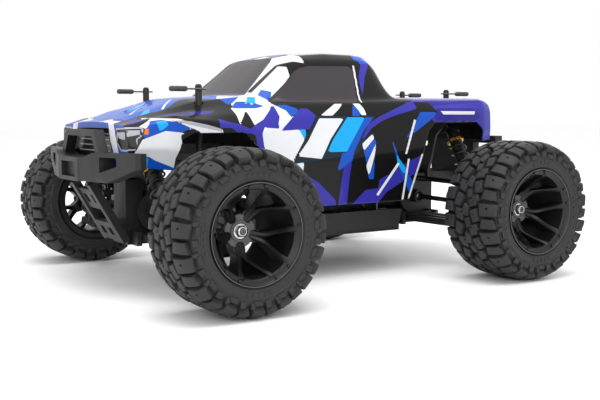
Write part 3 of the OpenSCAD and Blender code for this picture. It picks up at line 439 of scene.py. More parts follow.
lock_ring = [(2.6, 6.2), (3.95, 6.2), (3.85, 7.4), (3.4, 7.7), (2.9, 7.7), (2.6, 7.1), (2.6, 6.2)]
flange_parts = [lathe(flange, 40), lathe(lock_ring, 32)]
# Each piece with its material and the angle over which its edges are sharp; the screws are flat
wheel_pieces = [("y_spoke_rim_", join(rim_parts), nylon, 30),
                ("rim_screws_", join(screw_parts), nylon, None),
                ("hub_washer_", join(washer_parts), grey_nylon, 30),
                # The nut is one steel part: its hex takes the darker steel as painted shade, and its flange
                # and lock ring the plated steel as a painted highlight
                ("axle_nut_", join(nut_parts), bare_steel_and_nut_shade, 30),
                ("nut_flange_", join(flange_parts), plated_steel_and_flange_highlight, 30)]
for corner, turn in turns.items():
    for name, (points, faces), material, sharp in wheel_pieces:
        made = closed_piece(name + corner, at_wheel(points, corner, turn), faces, material, sharp,
                            smooth=bool(sharp))
        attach(made, "wheel_" + corner)
        if name == "y_spoke_rim_":
            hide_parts("wheel_" + corner)


# Body shell. Clear polycarbonate, vacuum formed over a pickup-shaped buck, trimmed at the arches
# and painted on the inside, so every colour lies under a glossy clear skin with crisp mask lines.
# The rails are drawn for a shell 406 mm long, and this one measures 410 mm
SHELL_X = 410 / 406
# Lines that run the length of the shell from the sill to the middle of the roof, each as
# (forward, left) points and (forward, up) points
RAILS = {
    "sill": (
        [(-204, 76), (-120, 86), (78, 88), (202, 80)],
        [(-204, 128), (-186, 126), (-116, 70), (78, 70), (150, 106), (202, 112)]),
    "flank": (
        [(-204, 77), (-190, 82), (-118, 89), (20, 91), (78, 92), (172, 90), (194, 85), (202, 80)],
        [(-204, 140), (-120, 118), (78, 112), (172, 126), (202, 126)]),
    "crease": (
        [(-204, 76), (-190, 81), (-140, 87), (-62, 84), (43, 85), (92, 90), (160, 89), (184, 85),
         (202, 78)],
        [(-204, 158), (-190, 161), (-108, 157), (43, 152), (81, 141), (105, 145), (132, 149), (160, 151),
         (184, 147), (202, 141)]),
    "belt": (
        [(-204, 73), (-190, 78), (-108, 79), (62, 77), (105, 82), (132, 80), (160, 79), (184, 76),
         (202, 72)],
        [(-204, 165), (-200, 167), (-190, 169), (-82, 167), (62, 163), (92, 155), (118, 154),
         (160, 154.5), (184, 151), (202, 145.5)]),
    "shelf": (
        [(-204, 66), (-190, 72), (-71, 72), (43, 72), (62, 69), (81, 65), (132, 66), (202, 60)],
        [(-204, 168), (-200, 170), (-190, 171.5), (-82, 170.5), (62, 166.5), (81, 167), (105, 163),
         (132, 159), (160, 154), (184, 150), (202, 145.5)]),
    "ridge": (
        [(-204, 46), (-108, 50), (-50, 50), (43, 50), (62, 53), (81, 56), (132, 55), (202, 48)],
        [(-204, 168.5), (-200, 170.5), (-190, 172), (-82, 171.5), (-78, 184), (-71, 199), (-62, 206),
         (-50, 207.5), (20, 206), (43, 201.5), (62, 187), (81, 171), (105, 168.5), (132, 165.5),
         (160, 157.5), (172, 155), (202, 146.5)]),
    "brow": (
        [(-204, 36), (-62, 40), (43, 42), (81, 45), (202, 38)],
        [(-204, 168.5), (-200, 170.5), (-190, 172), (-82, 172), (-78, 188), (-71, 206), (-62, 212.5),
         (-50, 213.5), (-16, 213.5), (20, 210.5), (43, 205.5), (62, 189), (81, 171.6), (105, 170.5),
         (132, 168.3), (160, 160.2), (172, 157.5), (194, 149.5), (202, 147.3)]),
    "deck": (
        [(-204, 30), (202, 30)],
        [(-204, 168.5), (-200, 170.5), (-190, 172), (-108, 172.5), (-101, 177), (-86, 188.5), (-71, 207),
         (-62, 213.5), (-50, 214.7), (-16, 215), (20, 212.3), (43, 207), (62, 190), (81, 172.4),
         (105, 171.3), (132, 169.2), (160, 161), (172, 158), (194, 150), (202, 147.8)]),
}
RAILS["spine"] = ([(-204, 0), (202, 0)], [(x, z + 0.4) for x, z in RAILS["deck"][1]])
# Strips of mesh between each rail and the next
between = [22, 20, 8, 7, 20, 8, 7, 14]
station_x = np.linspace(-204, 202, 246)


def along_rail(table):
    """A rail's height or half width at every station."""
    return np.interp(station_x, [p[0] for p in table], [p[1] for p in table])


def soften(rows, times):
    """Rounds the folds of the surface along its first axis, its ends kept."""
    for _ in range(times):
        inner = (rows[:-2] + 2 * rows[1:-1] + rows[2:]) / 4
        rows = np.concatenate([rows[:1], inner, rows[-1:]])
    return rows


rail_yz = np.stack([np.stack([along_rail(out), along_rail(up)], -1) for out, up in RAILS.values()], 1)
girth = []
for k, count in enumerate(between):
    for i in range(count):
        girth.append(rail_yz[:, k] + (rail_yz[:, k + 1] - rail_yz[:, k]) * i / count)
girth.append(rail_yz[:, -1])
half_shell = np.stack(girth, 1)
ridge_at = sum(between[:5])
shell_yz = np.concatenate([half_shell, half_shell[:, -2::-1] * [-1, 1]], 1)
shell_yz = soften(shell_yz, 3)
shell_yz = np.swapaxes(soften(np.swapaxes(shell_yz, 0, 1), 4), 0, 1)
n_x, n_g = shell_yz.shape[:2]
along = np.broadcast_to((station_x * SHELL_X)[:, None, None], (n_x, n_g, 1))
shell_grid = np.concatenate([along, shell_yz], 2)
middle = n_g // 2


def end_rows(section, bulge):
    """Rows that close an end, each from the left edge of the section across to the right edge."""
    columns, rounding, full_at = 61, 0.3, 45
    across = np.linspace(-1, 1, columns)
    crown = bulge * np.clip(1 - np.abs(across), 0, rounding) / rounding
    rows = []
    for j in range(middle + 1):
        x, y, z = section[j]
        rows.append(np.stack([x + crown * (0.3 + 0.7 * math.sin(math.pi * min(j / full_at, 1))), -across * y,
                              np.full(columns, z)], -1))
    return np.array(rows)


def quads(start, rows, columns):
    """Faces over a grid of points, the first of which has that number."""
    return [(a, a + 1, a + columns + 1, a + columns) for i in range(rows - 1)
            for a in range(start + i * columns, start + i * columns + columns - 1)]


side_points = shell_grid.reshape(-1, 3)
nose = end_rows(shell_grid[-1], 0.9)
tail = end_rows(shell_grid[0], -0.6)
faces = quads(0, n_x, n_g)
faces += quads(len(side_points), *nose.shape[:2])
faces += quads(len(side_points) + nose.shape[0] * nose.shape[1], *tail.shape[:2])
shell_points = np.concatenate([side_points, nose.reshape(-1, 3), tail.reshape(-1, 3)])
# Which of four views each point is painted in
SIDE, TOP, NOSE, TAIL = range(4)
round_girth = np.arange(n_g)
on_side = (round_girth <= ridge_at) | (round_girth >= n_g - 1 - ridge_at)
region = np.concatenate([np.tile(np.where(on_side, SIDE, TOP), n_x), np.full(nose[..., 0].size, NOSE),
                         np.full(tail[..., 0].size, TAIL)])


def inside(x, y, outline):
    """Signed distance to a polygon, less than nothing inside it."""
    best = np.full(x.shape, 1e9)
    sign = np.ones(x.shape)
    n = len(outline)
    for i in range(n):
        (ax, ay), (bx, by) = outline[i], outline[(i + 1) % n]
        ex, ey, wx, wy = bx - ax, by - ay, x - ax, y - ay
        t = np.clip((wx * ex + wy * ey) / max(ex * ex + ey * ey, 1e-9), 0, 1)
        best = np.minimum(best, np.hypot(wx - ex * t, wy - ey * t))
        turn = ex * wy - ey * wx
        up = (ay <= y) & (by > y) & (turn > 0)
        down = (ay > y) & (by <= y) & (turn < 0)
        sign = np.where(up | down, -sign, sign)
    return best * sign


# Mask shapes in the order they are sprayed; each covers what lies under it, and black is the bare
# base. Side outlines are "forward up" on both flanks, top ones are "forward left", and nose and tail
# ones are "left up". A mirrored shape is sprayed again on the other side of the middle.
SHAPES = {
    SIDE: [
        ("indigo", "114 148, 104 146, 94 143, 88 145, 78 150, 69 158, 66 162, 64 162, 66 157, 73 150, 79 143, "
         "82 138, 81 127, 82 124, 88 127, 89 136, 93 138, 107 139, 113 143, 124 143, 124 151"),
        ("white", "112 170, 100 163, 92 158, 78 163, 66 163, 66 157, 73 150, 79 143, 82 138, 81 127, 76 110, "
         "66 88, 58 96, 40 103, 39 117, 51 114, 37 132, 42 141, 62 140, 50 150, 40 157, 40 160, 62 163, "
         "84 180"),
        ("white", "104 160, 95 168, 62 168, 66 160, 78 150, 89 145, 104 146"),
        ("black", "92 158, 89 145, 94 142, 104 146"),
        ("blue", "104 160, 94 166, 84 166, 82 163, 77 164, 72 162, 81 160"),
        ("indigo", "78 150, 69 158, 66 162, 63 162, 60 150, 64 142, 79 143"),
        ("white", "63 161, 56 160, 52 158, 49 152, 44 145, 62 140, 64 146, 60 154"),
        ("blue", "62 163, 50 163, 40 160, 40 157, 49 152, 52 158, 56 160"),
        ("indigo", "40 157, 37 160, 29 160, 20 152, 31 141, 42 141, 62 140, 50 150"),
        ("cyan", "42 141, 35 141, 35 136, 37 132"),
        ("white", "18 153, -6 166, -14 166, -5 159, 6 152"),
        ("teal", "22 153.5, -46 153.5, -42 142, -22 117.6, 52 110"),
        ("white", "19 151, -9 151, 8 132, 20 114, 46 117, 33 131"),
        ("cyan", "-13 152, -44 152, -31 139, -18 120, 13 120, 5 132"),
        ("blue", "-34 152, -44 152, -31 139, -18 120, -9 120"),
        ("indigo", "-28 132, -38 146, -52 153, -89 166, -89 172, -112 172, -106 166, -97 160, -68 153, "
         "-53 148, -40 141, -30 131"),
        ("blue", "-28 127, -42 137, -45 126, -42 113, -42 93, -36 93, -32 109, -29 120"),
        ("white", "-28 127, -41 136, -43 132, -29 120"),
        ("white", "-44 127, -44 124, -41 113, -36 96, -32 106, -35 113"),
        ("blue", "-4 119, -18 120, -15 111, -8 106, 2 102, -2 115"),
        ("indigo", "-6 106, -15 111, -13 96, -11 68, -1 68, -4 95"),
        ("indigo", "39 101, 22 92, 2 75, 1 66, 24 66"),
        ("indigo", "-15 68, -33 83, -48 84, -49 92, -66 100, -90 111, -106 116, -102 101, -88 94, -59 80, "
         "-47 68"),
        ("indigo", "-106 175, -210 175, -210 128, -186 128, -186 141, -180 147, -119 147, -113 152, "
         "-106 160"),
        ("violet", "-106 175, -182 175, -190 168, -150 165, -118 163"),
        ("black", "-97 167, -116 167, -124 157, -102 157"),
        ("violet", "-124 161, -176 161, -186 152, -178 148, -120 149"),
        ("white", "-127 158, -178 158, -177 154.6, -131 154.6"),
        ("blue", "-102 157, -124 157, -114 149, -90 135, -78 129, -83 133, -87 138"),
        ("blue", "-65 130, -72 112, -80 104, -94 85, -91 73, -82 86, -70 107, -65 126"),
        ("cyan", "-69 118, -72 112, -80 104, -86 96, -78 98, -70 107"),
        ("white", "-93.4 150, -96 149, -82 116, -79.4 116"),
        ("white", "-83.4 112, -86 112, -80.4 71, -77.8 71"),
        ("white", "-101.6 118, -103.6 112, -88 72, -85.4 72"),
        ("white", "-71.4 109, -73.4 106.6, -48 75.6, -46 78"),
        ("blue", "-23 163, -19 153, -28 153, -31 163"),
        ("white", "-23 166, -31 166, -35 160, -36 154, -30 154, -28 159"),
        ("violet", "160 172, 104 172, 112 160, 128 155, 147 154.6, 180 153, 198 146, 210 152"),
        ("blue", "160 172, 84 172, 100 164, 128 158.5, 160 158, 210 150, 210 160"),
        ("black", "206 145, 184 151.6, 160 155, 132 157.5, 116 158, 104 163, 108 172, 126 169, 150 161, "
         "170 157.6, 206 149"),
        ("white", "197 143, 182 151.5, 163 151, 144 147.5, 122 142, 121 138, 142 137, 152 141"),
        ("grey", "170 150, 152 148.8, 135 145.6, 122 142, 123 140, 150 145.5"),
        ("blue", "193 138, 185 149, 176 150, 163 148, 151 143, 159 140, 172 140, 190 134"),
        ("cyan", "181 148.5, 173 149.4, 171 146, 176 142, 179 141"),
        ("white", "200 122, 193 134, 174 141, 156 139, 150 120, 162 104, 188 108, 200 116"),
        ("blue", "206 121, 195 110, 178 114, 188 120"),
        ("blue", "206 122, 196 122, 150 104, 206 104"),
        ("cyan", "195 121, 188 119, 188 108, 195 108"),
        ("orange", "190.5 143, 187.4 143, 188 138, 191.4 138"),
        ("grey", "205 144, 191 144, 193 136.6, 196.6 134, 198 125, 205 125"),
        ("black", "205 142.8, 192.4 142.8, 194 137.4, 197.6 134.8, 199 126.2, 205 126.2"),
        ("grey", "205 141.6, 194 141.6, 195.2 138, 205 136"),
        ("black", "161 137, 150 143, 143 140, 142 130, 160 130"),
        ("black", "-48 211, -66 205, -80 178, -86 168, -34 166, -38 172, -44 191, -41 203"),
        ("indigo", "-47 216, -62 212, -62 203, -52 191, -41 171, -44.6 191, -52 203"),
        ("blue", "-44 218, -62 214, -62 205, -52 204"),
        ("black", "-96 167, -82 166, 20 164, 20 168, -60 172, -96 172"),
        ("white", "88 164, 43 199, 34 199, 34 190, 62 166, 66 164"),
        ("blue", "71 172, 66 177, 57 175, 63 167"),
        ("cyan", "86 165, 80 170.5, 74 170, 78 164"),
        ("white", "46 200, 40 218, 14 218, 14 203, 27 204.5"),
        ("glass", "65 166, 33.5 189.5, 28 195, 20 198.6, 10 200.6, -37 201.6, -41 198, -33 168, -28 166"),
        ("white", "-42 203, -44 202.4, -36.6 166, -34.6 166"),
    ],
    TOP: [
        ("blue", "210 60, 80 60, 80 -60, 210 -60"),
        ("white", "206 52, 196 52, 199 34, 193 22, 206 16"),
        ("white", "198 -14, 184 -52, 206 -52"),
        ("cyan", "188 58, 176 58, 166 38, 172 40"),
        ("cyan", "172 20, 150 -8, 156 -10, 180 16"),
        ("white", "184 34, 182.6 36, 158 8, 160 7"),
        ("white", "160 48, 158.4 50, 136 20, 138 19"),
        ("white", "158 -20, 156.4 -19, 134 -52, 136 -53"),
        ("black", "176 60, 150 47, 140 38, 118 34, 124 46, 104 60"),
        ("black", "176 -60, 150 -50, 146 -44, 120 -60"),
        ("black", "150 -60, 146 -34, 126 -28, 132 -40, 120 -60"),
        ("white", "112 60, 96 30, 104 16, 90 8, 86 34, 80 60"),
        ("white", "108 -60, 98 -36, 106 -12, 92 -16, 84 -40, 80 -60"),
        ("indigo", "96 8, 88 10, 84 -14, 98 -6"),
        ("black", "194.5 60, 192.6 60, 194.6 0, 192.6 -60, 194.5 -60, 196.6 0"),
        ("glass", "81.5 47, 76 52, 46 40, 43.5 36, 42.5 0, 43.5 -36, 46 -40, 76 -52, 81.5 -47, 83 0"),
        ("mirrored white", "84 58, 77 53.4, 45 41.6, 44 58"),
        ("blue", "42 60, 26 44, 30 30, 41.5 34"),
        ("indigo", "41.5 22, 24 24, 30 6, 41 6"),
        ("white", "41 14, 32 20, 28 2, 41 4"),
        ("blue", "41 -2, 26 -4, 30 -18, 41 -14"),
        ("indigo", "41.5 -22, 24 -26, 32 -44, 42 -60"),
        ("mirrored white", "46 58, 46 42.6, 38 34, 26 36, 14 44, 14 58"),
        ("mirrored blue", "-44 60, -50 30, -62 26, -66 60"),
        ("mirrored indigo", "-50 30, -56 12, -68 18, -64 30"),
        ("glass", "-70 34, -86 32, -99 27, -100 0, -99 -27, -86 -32, -70 -34, -69 0"),
        ("violet", "-106 60, -210 60, -210 -60, -106 -60, -116 0"),
        ("indigo", "-150 60, -186 60, -200 0, -186 -60, -150 -60, -176 0"),
        ("blue", "-196 60, -210 60, -210 -60, -196 -60, -204 0"),
        ("white", "-112 22, -124 10, -146 16, -128 20"),
    ],
    NOSE: [
        ("blue", "-90 150, 90 150, 90 100, -90 100"),
        ("mirrored white", "48 150, 36 150, 44 132, 58 112, 66 112, 56 134"),
        ("black", "-38 143, 38 143, 46 128, 46 112, -46 112, -46 128"),
        ("grey", "33 138.4, -33 138.4, -33.6 137.4, 33.6 137.4"),
        ("grey", "35 133.4, -35 133.4, -35.6 132.4, 35.6 132.4"),
        ("grey", "37 128.4, -37 128.4, -37.6 127.4, 37.6 127.4"),
        ("grey", "39 123.4, -39 123.4, -39.4 122.4, 39.4 122.4"),
        ("mirrored grey", "80 144, 55 143, 58 130, 66 124, 80 124"),
        ("mirrored black", "80 142.6, 56.8 141.8, 59.4 131, 66.8 125.6, 80 125.6"),
        ("mirrored grey", "74 140, 59.4 139.6, 61 134.6, 74 133.6"),
    ],
    TAIL: [
        ("indigo", "-90 175, 90 175, 90 120, -90 120"),
        ("black", "-56 163, 56 163, 50 134, -50 134"),
        ("violet", "-52 160, 52 160, 47 150, -47 150"),
        ("mirrored orange", "72 160, 62 160, 60 142, 72 142"),
    ],
}


def pairs(text):
    """An outline's points from its text, in millimetres."""
    return [tuple(float(n) for n in point.split()) for point in text.split(",")]


PAINTS = {"white": "#DBDDE2", "grey": "#A6A9B0", "blue": "#0F4FB8", "cyan": "#0FA2E4", "indigo": "#332F9C",
          "violet": "#271C86", "orange": "#F07010", "teal": "#0C2430", "glass": "#3A3538"}
# The distance a point is given when it lies in another view
FAR = 60.0
x, y, z = shell_points.T
seen = {SIDE: (x, z), TOP: (x, y), NOSE: (y, z), TAIL: (y, z)}
sprayed = {name: np.full(len(shell_points), FAR) for name in PAINTS}


def spray(face, colour, outline):
    """Adds a shape to its colour's mask and takes it out of every other colour's."""
    d = np.where(region == face, inside(*seen[face], outline), FAR)
    for name in PAINTS:
        if name == colour:
            sprayed[name] = np.minimum(sprayed[name], d)
        else:
            sprayed[name] = np.maximum(sprayed[name], -d)


for face, shapes in SHAPES.items():
    for label, text in shapes:
        colour, outline = label.split()[-1], pairs(text)
        spray(face, colour, outline)
        if label.startswith("mirrored"):
            spray(face, colour, [(u, -v) if face == TOP else (-u, v) for u, v in outline])


def filled(distance, run):
    """One within a shape and nothing outside it, with a ramp that many millimetres wide."""
    return np.clip(0.5 - distance / run, 0, 1)


# The windows are set back a little inside their frames, and the grille and tailgate panel too
WINDOW_STEP, GRILLE_STEP, PANEL_STEP = 0.7, 2.2, 1.2
grille = [(-36, 141.5), (36, 141.5), (43, 128), (43, 114), (-43, 114), (-43, 128)]
panel = [(-55, 162), (55, 162), (49, 135), (-49, 135)]
inward_side = np.stack([0 * x, np.sign(y), 0.45 + 0 * x], -1)
inward_slope = np.stack([np.where(x > 0, 0.7, -0.7), 0 * y, 0.7 + 0 * x], -1)
sunk = filled(sprayed["glass"], 1.6) * WINDOW_STEP
step = -sunk[:, None] * np.where((region == SIDE)[:, None], inward_side, inward_slope)
step[:, 0] -= np.where(region == NOSE, filled(inside(y, z, grille), 1.4) * GRILLE_STEP, 0)
step[:, 0] += np.where(region == TAIL, filled(inside(y, z, panel), 1.4) * PANEL_STEP, 0)
shell_points = shell_points + step

# Sprayed colour behind a clear skin: even and satin itself, with a hard gloss over it, and a
# faint waviness from the forming; the smoked windows are the same skin tinted dark
paint, tree, shader = finish("polycarbonate_painted_inside", Roughness=0.42, IOR=1.5,
                             Specular_IOR_Level=0.1, Coat_Weight=0.45, Coat_Roughness=0.07, Coat_IOR=1.38)
# Patches of mist are 14 mm across and waves 42 mm, given as so many to a metre
MIST_SCALE, WAVE_SCALE = 70.0, 24.0
# Half the width of the blur at a mask's edge, in millimetres
EDGE_BLUR = 0.12
where = add(tree, "TexCoord").outputs["Object"]
mist = add(tree, "TexNoise", {"Vector": where, "Scale": MIST_SCALE, "Detail": 3.0})
colour = add(tree, "Mix", {0: mist.outputs["Fac"], 6: linear("#080708"), 7: linear("#0E0D0E")},
             data_type="RGBA")
for name, code in PAINTS.items():
    mask = add(tree, "Attribute", attribute_name="spray_" + name)
    edge = add(tree, "MapRange", {"Value": mask.outputs["Fac"], "From Min": EDGE_BLUR,
                                  "From Max": -EDGE_BLUR})
    shade = [c * 0.9 for c in linear(code)[:3]] + [1]
    pigment = add(tree, "Mix", {0: mist.outputs["Fac"], 6: shade, 7: linear(code)}, data_type="RGBA")
    colour = add(tree, "Mix", {0: edge.outputs["Result"], 6: colour.outputs[2], 7: pigment.outputs[2]},
                 data_type="RGBA")
tree.links.new(colour.outputs[2], shader.inputs["Base Color"])
wave = add(tree, "TexNoise", {"Vector": where, "Scale": WAVE_SCALE, "Detail": 1.0})
bump = add(tree, "Bump", {"Height": wave.outputs["Fac"], "Strength": 0.12, "Distance": 0.002})
tree.links.new(bump.outputs["Normal"], shader.inputs["Coat Normal"])

# The inside of the shell is black all over, painted shade for the dark under the shell and inside the arches,
# a dull, slightly uneven film
inside_shade = mottled("black_inside_painted_shade", "#0D0D0E", "#1A1A1B", 20, 1.2, 0.1, Roughness=0.55,
                  Specular_IOR_Level=0.3)
shell = mesh_piece("painted_shell", shell_points, faces, paint, smooth=True)
shell.data.materials.append(inside_shade)
for name, field in sprayed.items():
    mask = shell.data.attributes.new("spray_" + name, "FLOAT", "POINT")
    mask.data.foreach_set("value", field.astype(np.float32))

# The sheet is trimmed along the wheel arches, (forward, up), and round each post, (forward, left)
FRONT_ARCH = [(165, 60), (165, 118), (159, 134), (149, 139), (101, 139), (87, 127), (77, 100), (73, 60)]
REAR_ARCH = [(-88, 60), (-88, 72), (-111, 138), (-119, 146), (-181, 147), (-190, 140), (-196, 118),
             (-196, 60)]
FRONT_POST, REAR_POST = (128.0, 57.0), (-178.7, 37.0)
POST_HOLE = 4.2
# An arch cuts only the flanks and a hole only the top round its post, in metres
FLANK_FROM, TOP_FROM, NEAR_POST = 0.066, 0.14, 0.009
work = bmesh.new()
work.from_mesh(shell.data)
bmesh.ops.remove_doubles(work, verts=work.verts, dist=1e-6)
holes = []
for cx, cy in (FRONT_POST, REAR_POST):
    for side in (1, -1):
        holes.append([(cx + POST_HOLE * math.cos(t), side * cy + POST_HOLE * math.sin(t))
                      for t in np.linspace(0, 2 * math.pi, 17)[:16]])


def trim(outline, plane, region_test):
    """Cuts the sheet along a convex outline and removes what lies within it."""
    middle_at = np.mean(outline, axis=0)
    for i in range(len(outline)):
        a, b = np.array(outline[i]), np.array(outline[(i + 1) % len(outline)])
        n = np.array([b[1] - a[1], a[0] - b[0]], float)
        if np.dot(n, middle_at - a) > 0:
            n = -n
        co = (a[0] * MM, 0, a[1] * MM) if plane == "xz" else (a[0] * MM, a[1] * MM, 0)
        no = (n[0], 0, n[1]) if plane == "xz" else (n[0], n[1], 0)
        low, high = np.min(outline, axis=0) - 3, np.max(outline, axis=0) + 3
        near = [f for f in work.faces
                if region_test(f) and low[0] < f.calc_center_median().x / MM < high[0]]
        geom = set(near)
        for f in near:
            geom.update(f.verts)
            geom.update(f.edges)
        bmesh.ops.bisect_plane(work, geom=list(geom), dist=1e-7, plane_co=co, plane_no=no)
    gone = []
    for f in work.faces:
        c = f.calc_center_median() / MM
        p = (c.x, c.z) if plane == "xz" else (c.x, c.y)
        if region_test(f) and inside(np.array([p[0]]), np.array([p[1]]), outline)[0] < 0:
            gone.append(f)
    bmesh.ops.delete(work, geom=gone, context="FACES")


for arch in (FRONT_ARCH, REAR_ARCH):
    trim(arch, "xz", lambda f: abs(f.calc_center_median().y) > FLANK_FROM)
for hole in holes:
    post_y = np.mean([h[1] for h in hole]) * MM
    trim(hole, "xy", lambda f: f.calc_center_median().z > TOP_FROM
         and abs(f.calc_center_median().y - post_y) < NEAR_POST)
bmesh.ops.recalc_face_normals(work, faces=work.faces)
work.to_mesh(shell.data)
work.free()
shell.data.polygons.foreach_set("use_smooth", [True] * len(shell.data.polygons))
shell.data.set_sharp_from_angle(angle=math.radians(48))
sheet_gauge = shell.modifiers.new("sheet_gauge", "SOLIDIFY")
sheet_gauge.thickness = 1.3 * MM
sheet_gauge.offset = -1
# The inner face takes the second material, the black painted shade
sheet_gauge.material_offset = 1
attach(shell, "chassis")
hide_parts("body_shell")


# Chassis, gear cases, towers, arms and bumpers. All are injection moulded in charcoal
# glass-filled nylon, screwed together, with the small edge radius that moulding leaves.
def dress(nodes, material, edge):
    """Gives CAD solids their finish and rounds their edges by that many millimetres."""
    corner = 38
    for node in nodes:
        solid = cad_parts[node]
        solid.data.materials.clear()
        solid.data.materials.append(material)
        weld = solid.modifiers.new("weld", "WELD")
        weld.merge_threshold = 0.00001
        radius = solid.modifiers.new("edge_radius", "BEVEL")
        radius.width = edge * MM
        radius.segments = 2
        radius.limit_method = "ANGLE"
        radius.angle_limit = math.radians(corner)
        radius.use_clamp_overlap = True
        radius.harden_normals = False


# Glass-filled nylon comes out of the mould a little mottled, with a fine spark-eroded grain
charcoal = mottled("glass_filled_nylon", "#151414", "#242222", 14, 0.6, 0.15, Roughness=0.5,
                   Specular_IOR_Level=0.4)
dress(["chassis", "gear_cases", "shock_towers", "skid_plate", "front_bumper", "rear_bumper"], charcoal, 0.6)
dress(["body_posts"], charcoal, 0.9)
dress(["steering_crank"] + ["lower_arm_" + c for c in CORNERS]
      + ["caster_block_fl", "caster_block_fr", "knuckle_fl", "knuckle_fr", "rear_hub_rl", "rear_hub_rr"],
      charcoal, 0.4)


# Screws. Black oxide cap screws come up through the chassis plate into the parts on it: each is a
# low dome with a hexagon socket.
# Black oxide over steel is a deep, faintly oily grey that shines along its edges
oxide = mottled("black_oxide_steel", "#1A1A1B", "#3A3A3C", 3, 0.8, 0.03, Metallic=0.9, Roughness=0.34)


def cap_screw(centre, axis):
    """A domed screw whose head stands on the centre point and looks along the axis."""
    r = 2.6
    axis = Vector(axis).normalized()
    u = axis.orthogonal().normalized()
    v = axis.cross(u)
    rings = []
    steps = 24
    for radius, up, six_sided in ((r, -0.2, False), (r, 0.5, False), (0.8 * r, 1.1, False),
                                  (0.56 * r, 1.25, True), (0.52 * r, 0.3, True)):
        ring = []
        for k in range(steps):
            t = 2 * math.pi * k / steps
            flat = math.cos(math.pi / 6) / math.cos((t % (math.pi / 3)) - math.pi / 6)
            q = radius * (flat if six_sided else 1)
            ring.append(tuple(Vector(centre) + axis * up + u * (q * math.cos(t)) + v * (q * math.sin(t))))
        rings.append(ring)
    return skin(rings, caps=True)


# The underside of the chassis plate
PLATE_Z = 38
screws = []
for side in (1, -1):
    for cx, cy in ((60, 20), (0, 28), (-60, 20), (-110, 30), (110, 30), (30, 48), (-30, 48)):
        screws.append(cap_screw((cx, side * cy, PLATE_Z), (0, 0, -1)))
made = closed_piece("underside_screws", *join(screws), oxide, 30)
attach(made, "chassis")


# Links and drive. Turnbuckles and driveshafts are steel rods between black moulded ball ends;
# the spur gear and pinion run behind the battery.
dress(["camber_link_" + c for c in CORNERS] + ["tie_rod_fl", "tie_rod_fr", "centre_link"], oxide, 0.3)
dress(["driveshaft_" + c for c in CORNERS], bare_steel_and_nut_shade, 0.3)
# Unfilled nylon is a warm milky white with a waxy sheen
white_nylon = mottled("natural_nylon", "#B9B8AE", "#CFCEC4", 7, 0.6, 0.08, Roughness=0.5,
                      Subsurface_Weight=0.1)
dress(["spur_gear"], white_nylon, 0.15)
dress(["pinion"], bare_steel_and_nut_shade, 0.15)


# Electrics. A shrink-wrapped battery, a brushless motor in an anodised can, and the speed
# controller and steering servo in moulded cases.
# Shrink film pulls tight and wrinkles slightly, with a wet-looking gloss
film = mottled("battery_shrink_film", "#10141C", "#1B2330", 12, 3, 0.3, Roughness=0.25, Coat_Weight=0.5)
dress(["battery"], film, 1.6)
# Anodising dyes the turned can a dark grey with a fine satin
anodised = mottled("anodised_aluminium", "#3C3D42", "#55565C", 9, 0.5, 0.03, Metallic=1.0,
                   Roughness=0.36)
dress(["motor"], anodised, 0.5)
# ABS cases have a spark-eroded face, greyer and smoother than the nylon round them
case = mottled("moulded_abs_case", "#1A1B1F", "#25272C", 10, 0.5, 0.1, Roughness=0.42, IOR=1.54)
dress(["speed_controller", "steering_servo"], case, 0.7)


# Shock absorbers. A threaded black body with a knurled cap hangs from the tower; a gold spring
# collar is threaded on it, and a polished shaft carries the lower cup and its ball end.
SHOCK_X, TOP_Y, LOW_Y, LOW_Z = 173.5, 48.0, 98.0, 54.0
# The top pin stands higher at the rear (-1) than at the front (1)
TOP_Z = {1: 126.0, -1: 147.0}


def on_shock(shape, corner):
    """Points and faces given from the top pin, third axis up the shock, moved to that corner."""
    front, left = CORNERS[corner]
    lean = math.atan2(LOW_Y - TOP_Y, TOP_Z[front] - LOW_Z)
    points, faces = shape
    p = np.asarray(points, float)
    return np.stack([front * (SHOCK_X + p[:, 0]),
                     left * (TOP_Y + p[:, 1] * math.cos(lean) - p[:, 2] * math.sin(lean)),
                     TOP_Z[front] + p[:, 1] * math.sin(lean) + p[:, 2] * math.cos(lean)], axis=1), faces


def eyelet(z, r, bore):
    """A ball end: a rounded ring about the pin, which runs fore and aft."""
    half = 2.2
    points, faces = lathe([(bore, -half), (r - 0.8, -half), (r, -half + 0.8), (r, half - 0.8),
                           (r - 0.8, half), (bore, half), (bore, -half)], 32)
    return [(h, a, b + z) for a, b, h in points], faces


def knurled(r, bore, low, high, teeth, depth=0.5):
    """A grip ring with a toothed edge."""
    n = teeth * 4
    rings = []
    for radius, h in ((bore, low), (r - 1, low), (r, low + 0.6), (r, high - 0.6), (r - 1, high), (bore, high),
                      (bore, low)):
        rings.append([])
        for k in range(n):
            here = radius - (depth if k % 4 > 1 and radius > bore else 0)
            t = 2 * math.pi * k / n
            rings[-1].append((here * math.cos(t), here * math.sin(t), h))
    return skin(rings)


# Gold anodising on turned aluminium: bright, warm and slightly satin
gold = mottled("gold_anodised_aluminium", "#B8822A", "#D8A446", 5, 0.6, 0.03, Metallic=1.0,
               Roughness=0.28)
# Powder-coated spring wire is smooth and black, with a soft gloss
coated = mottled("coated_spring_wire", "#0E0E0F", "#1A1A1B", 6, 0.8, 0.05, Roughness=0.3, IOR=1.5)
THREAD_STEP = 0.55
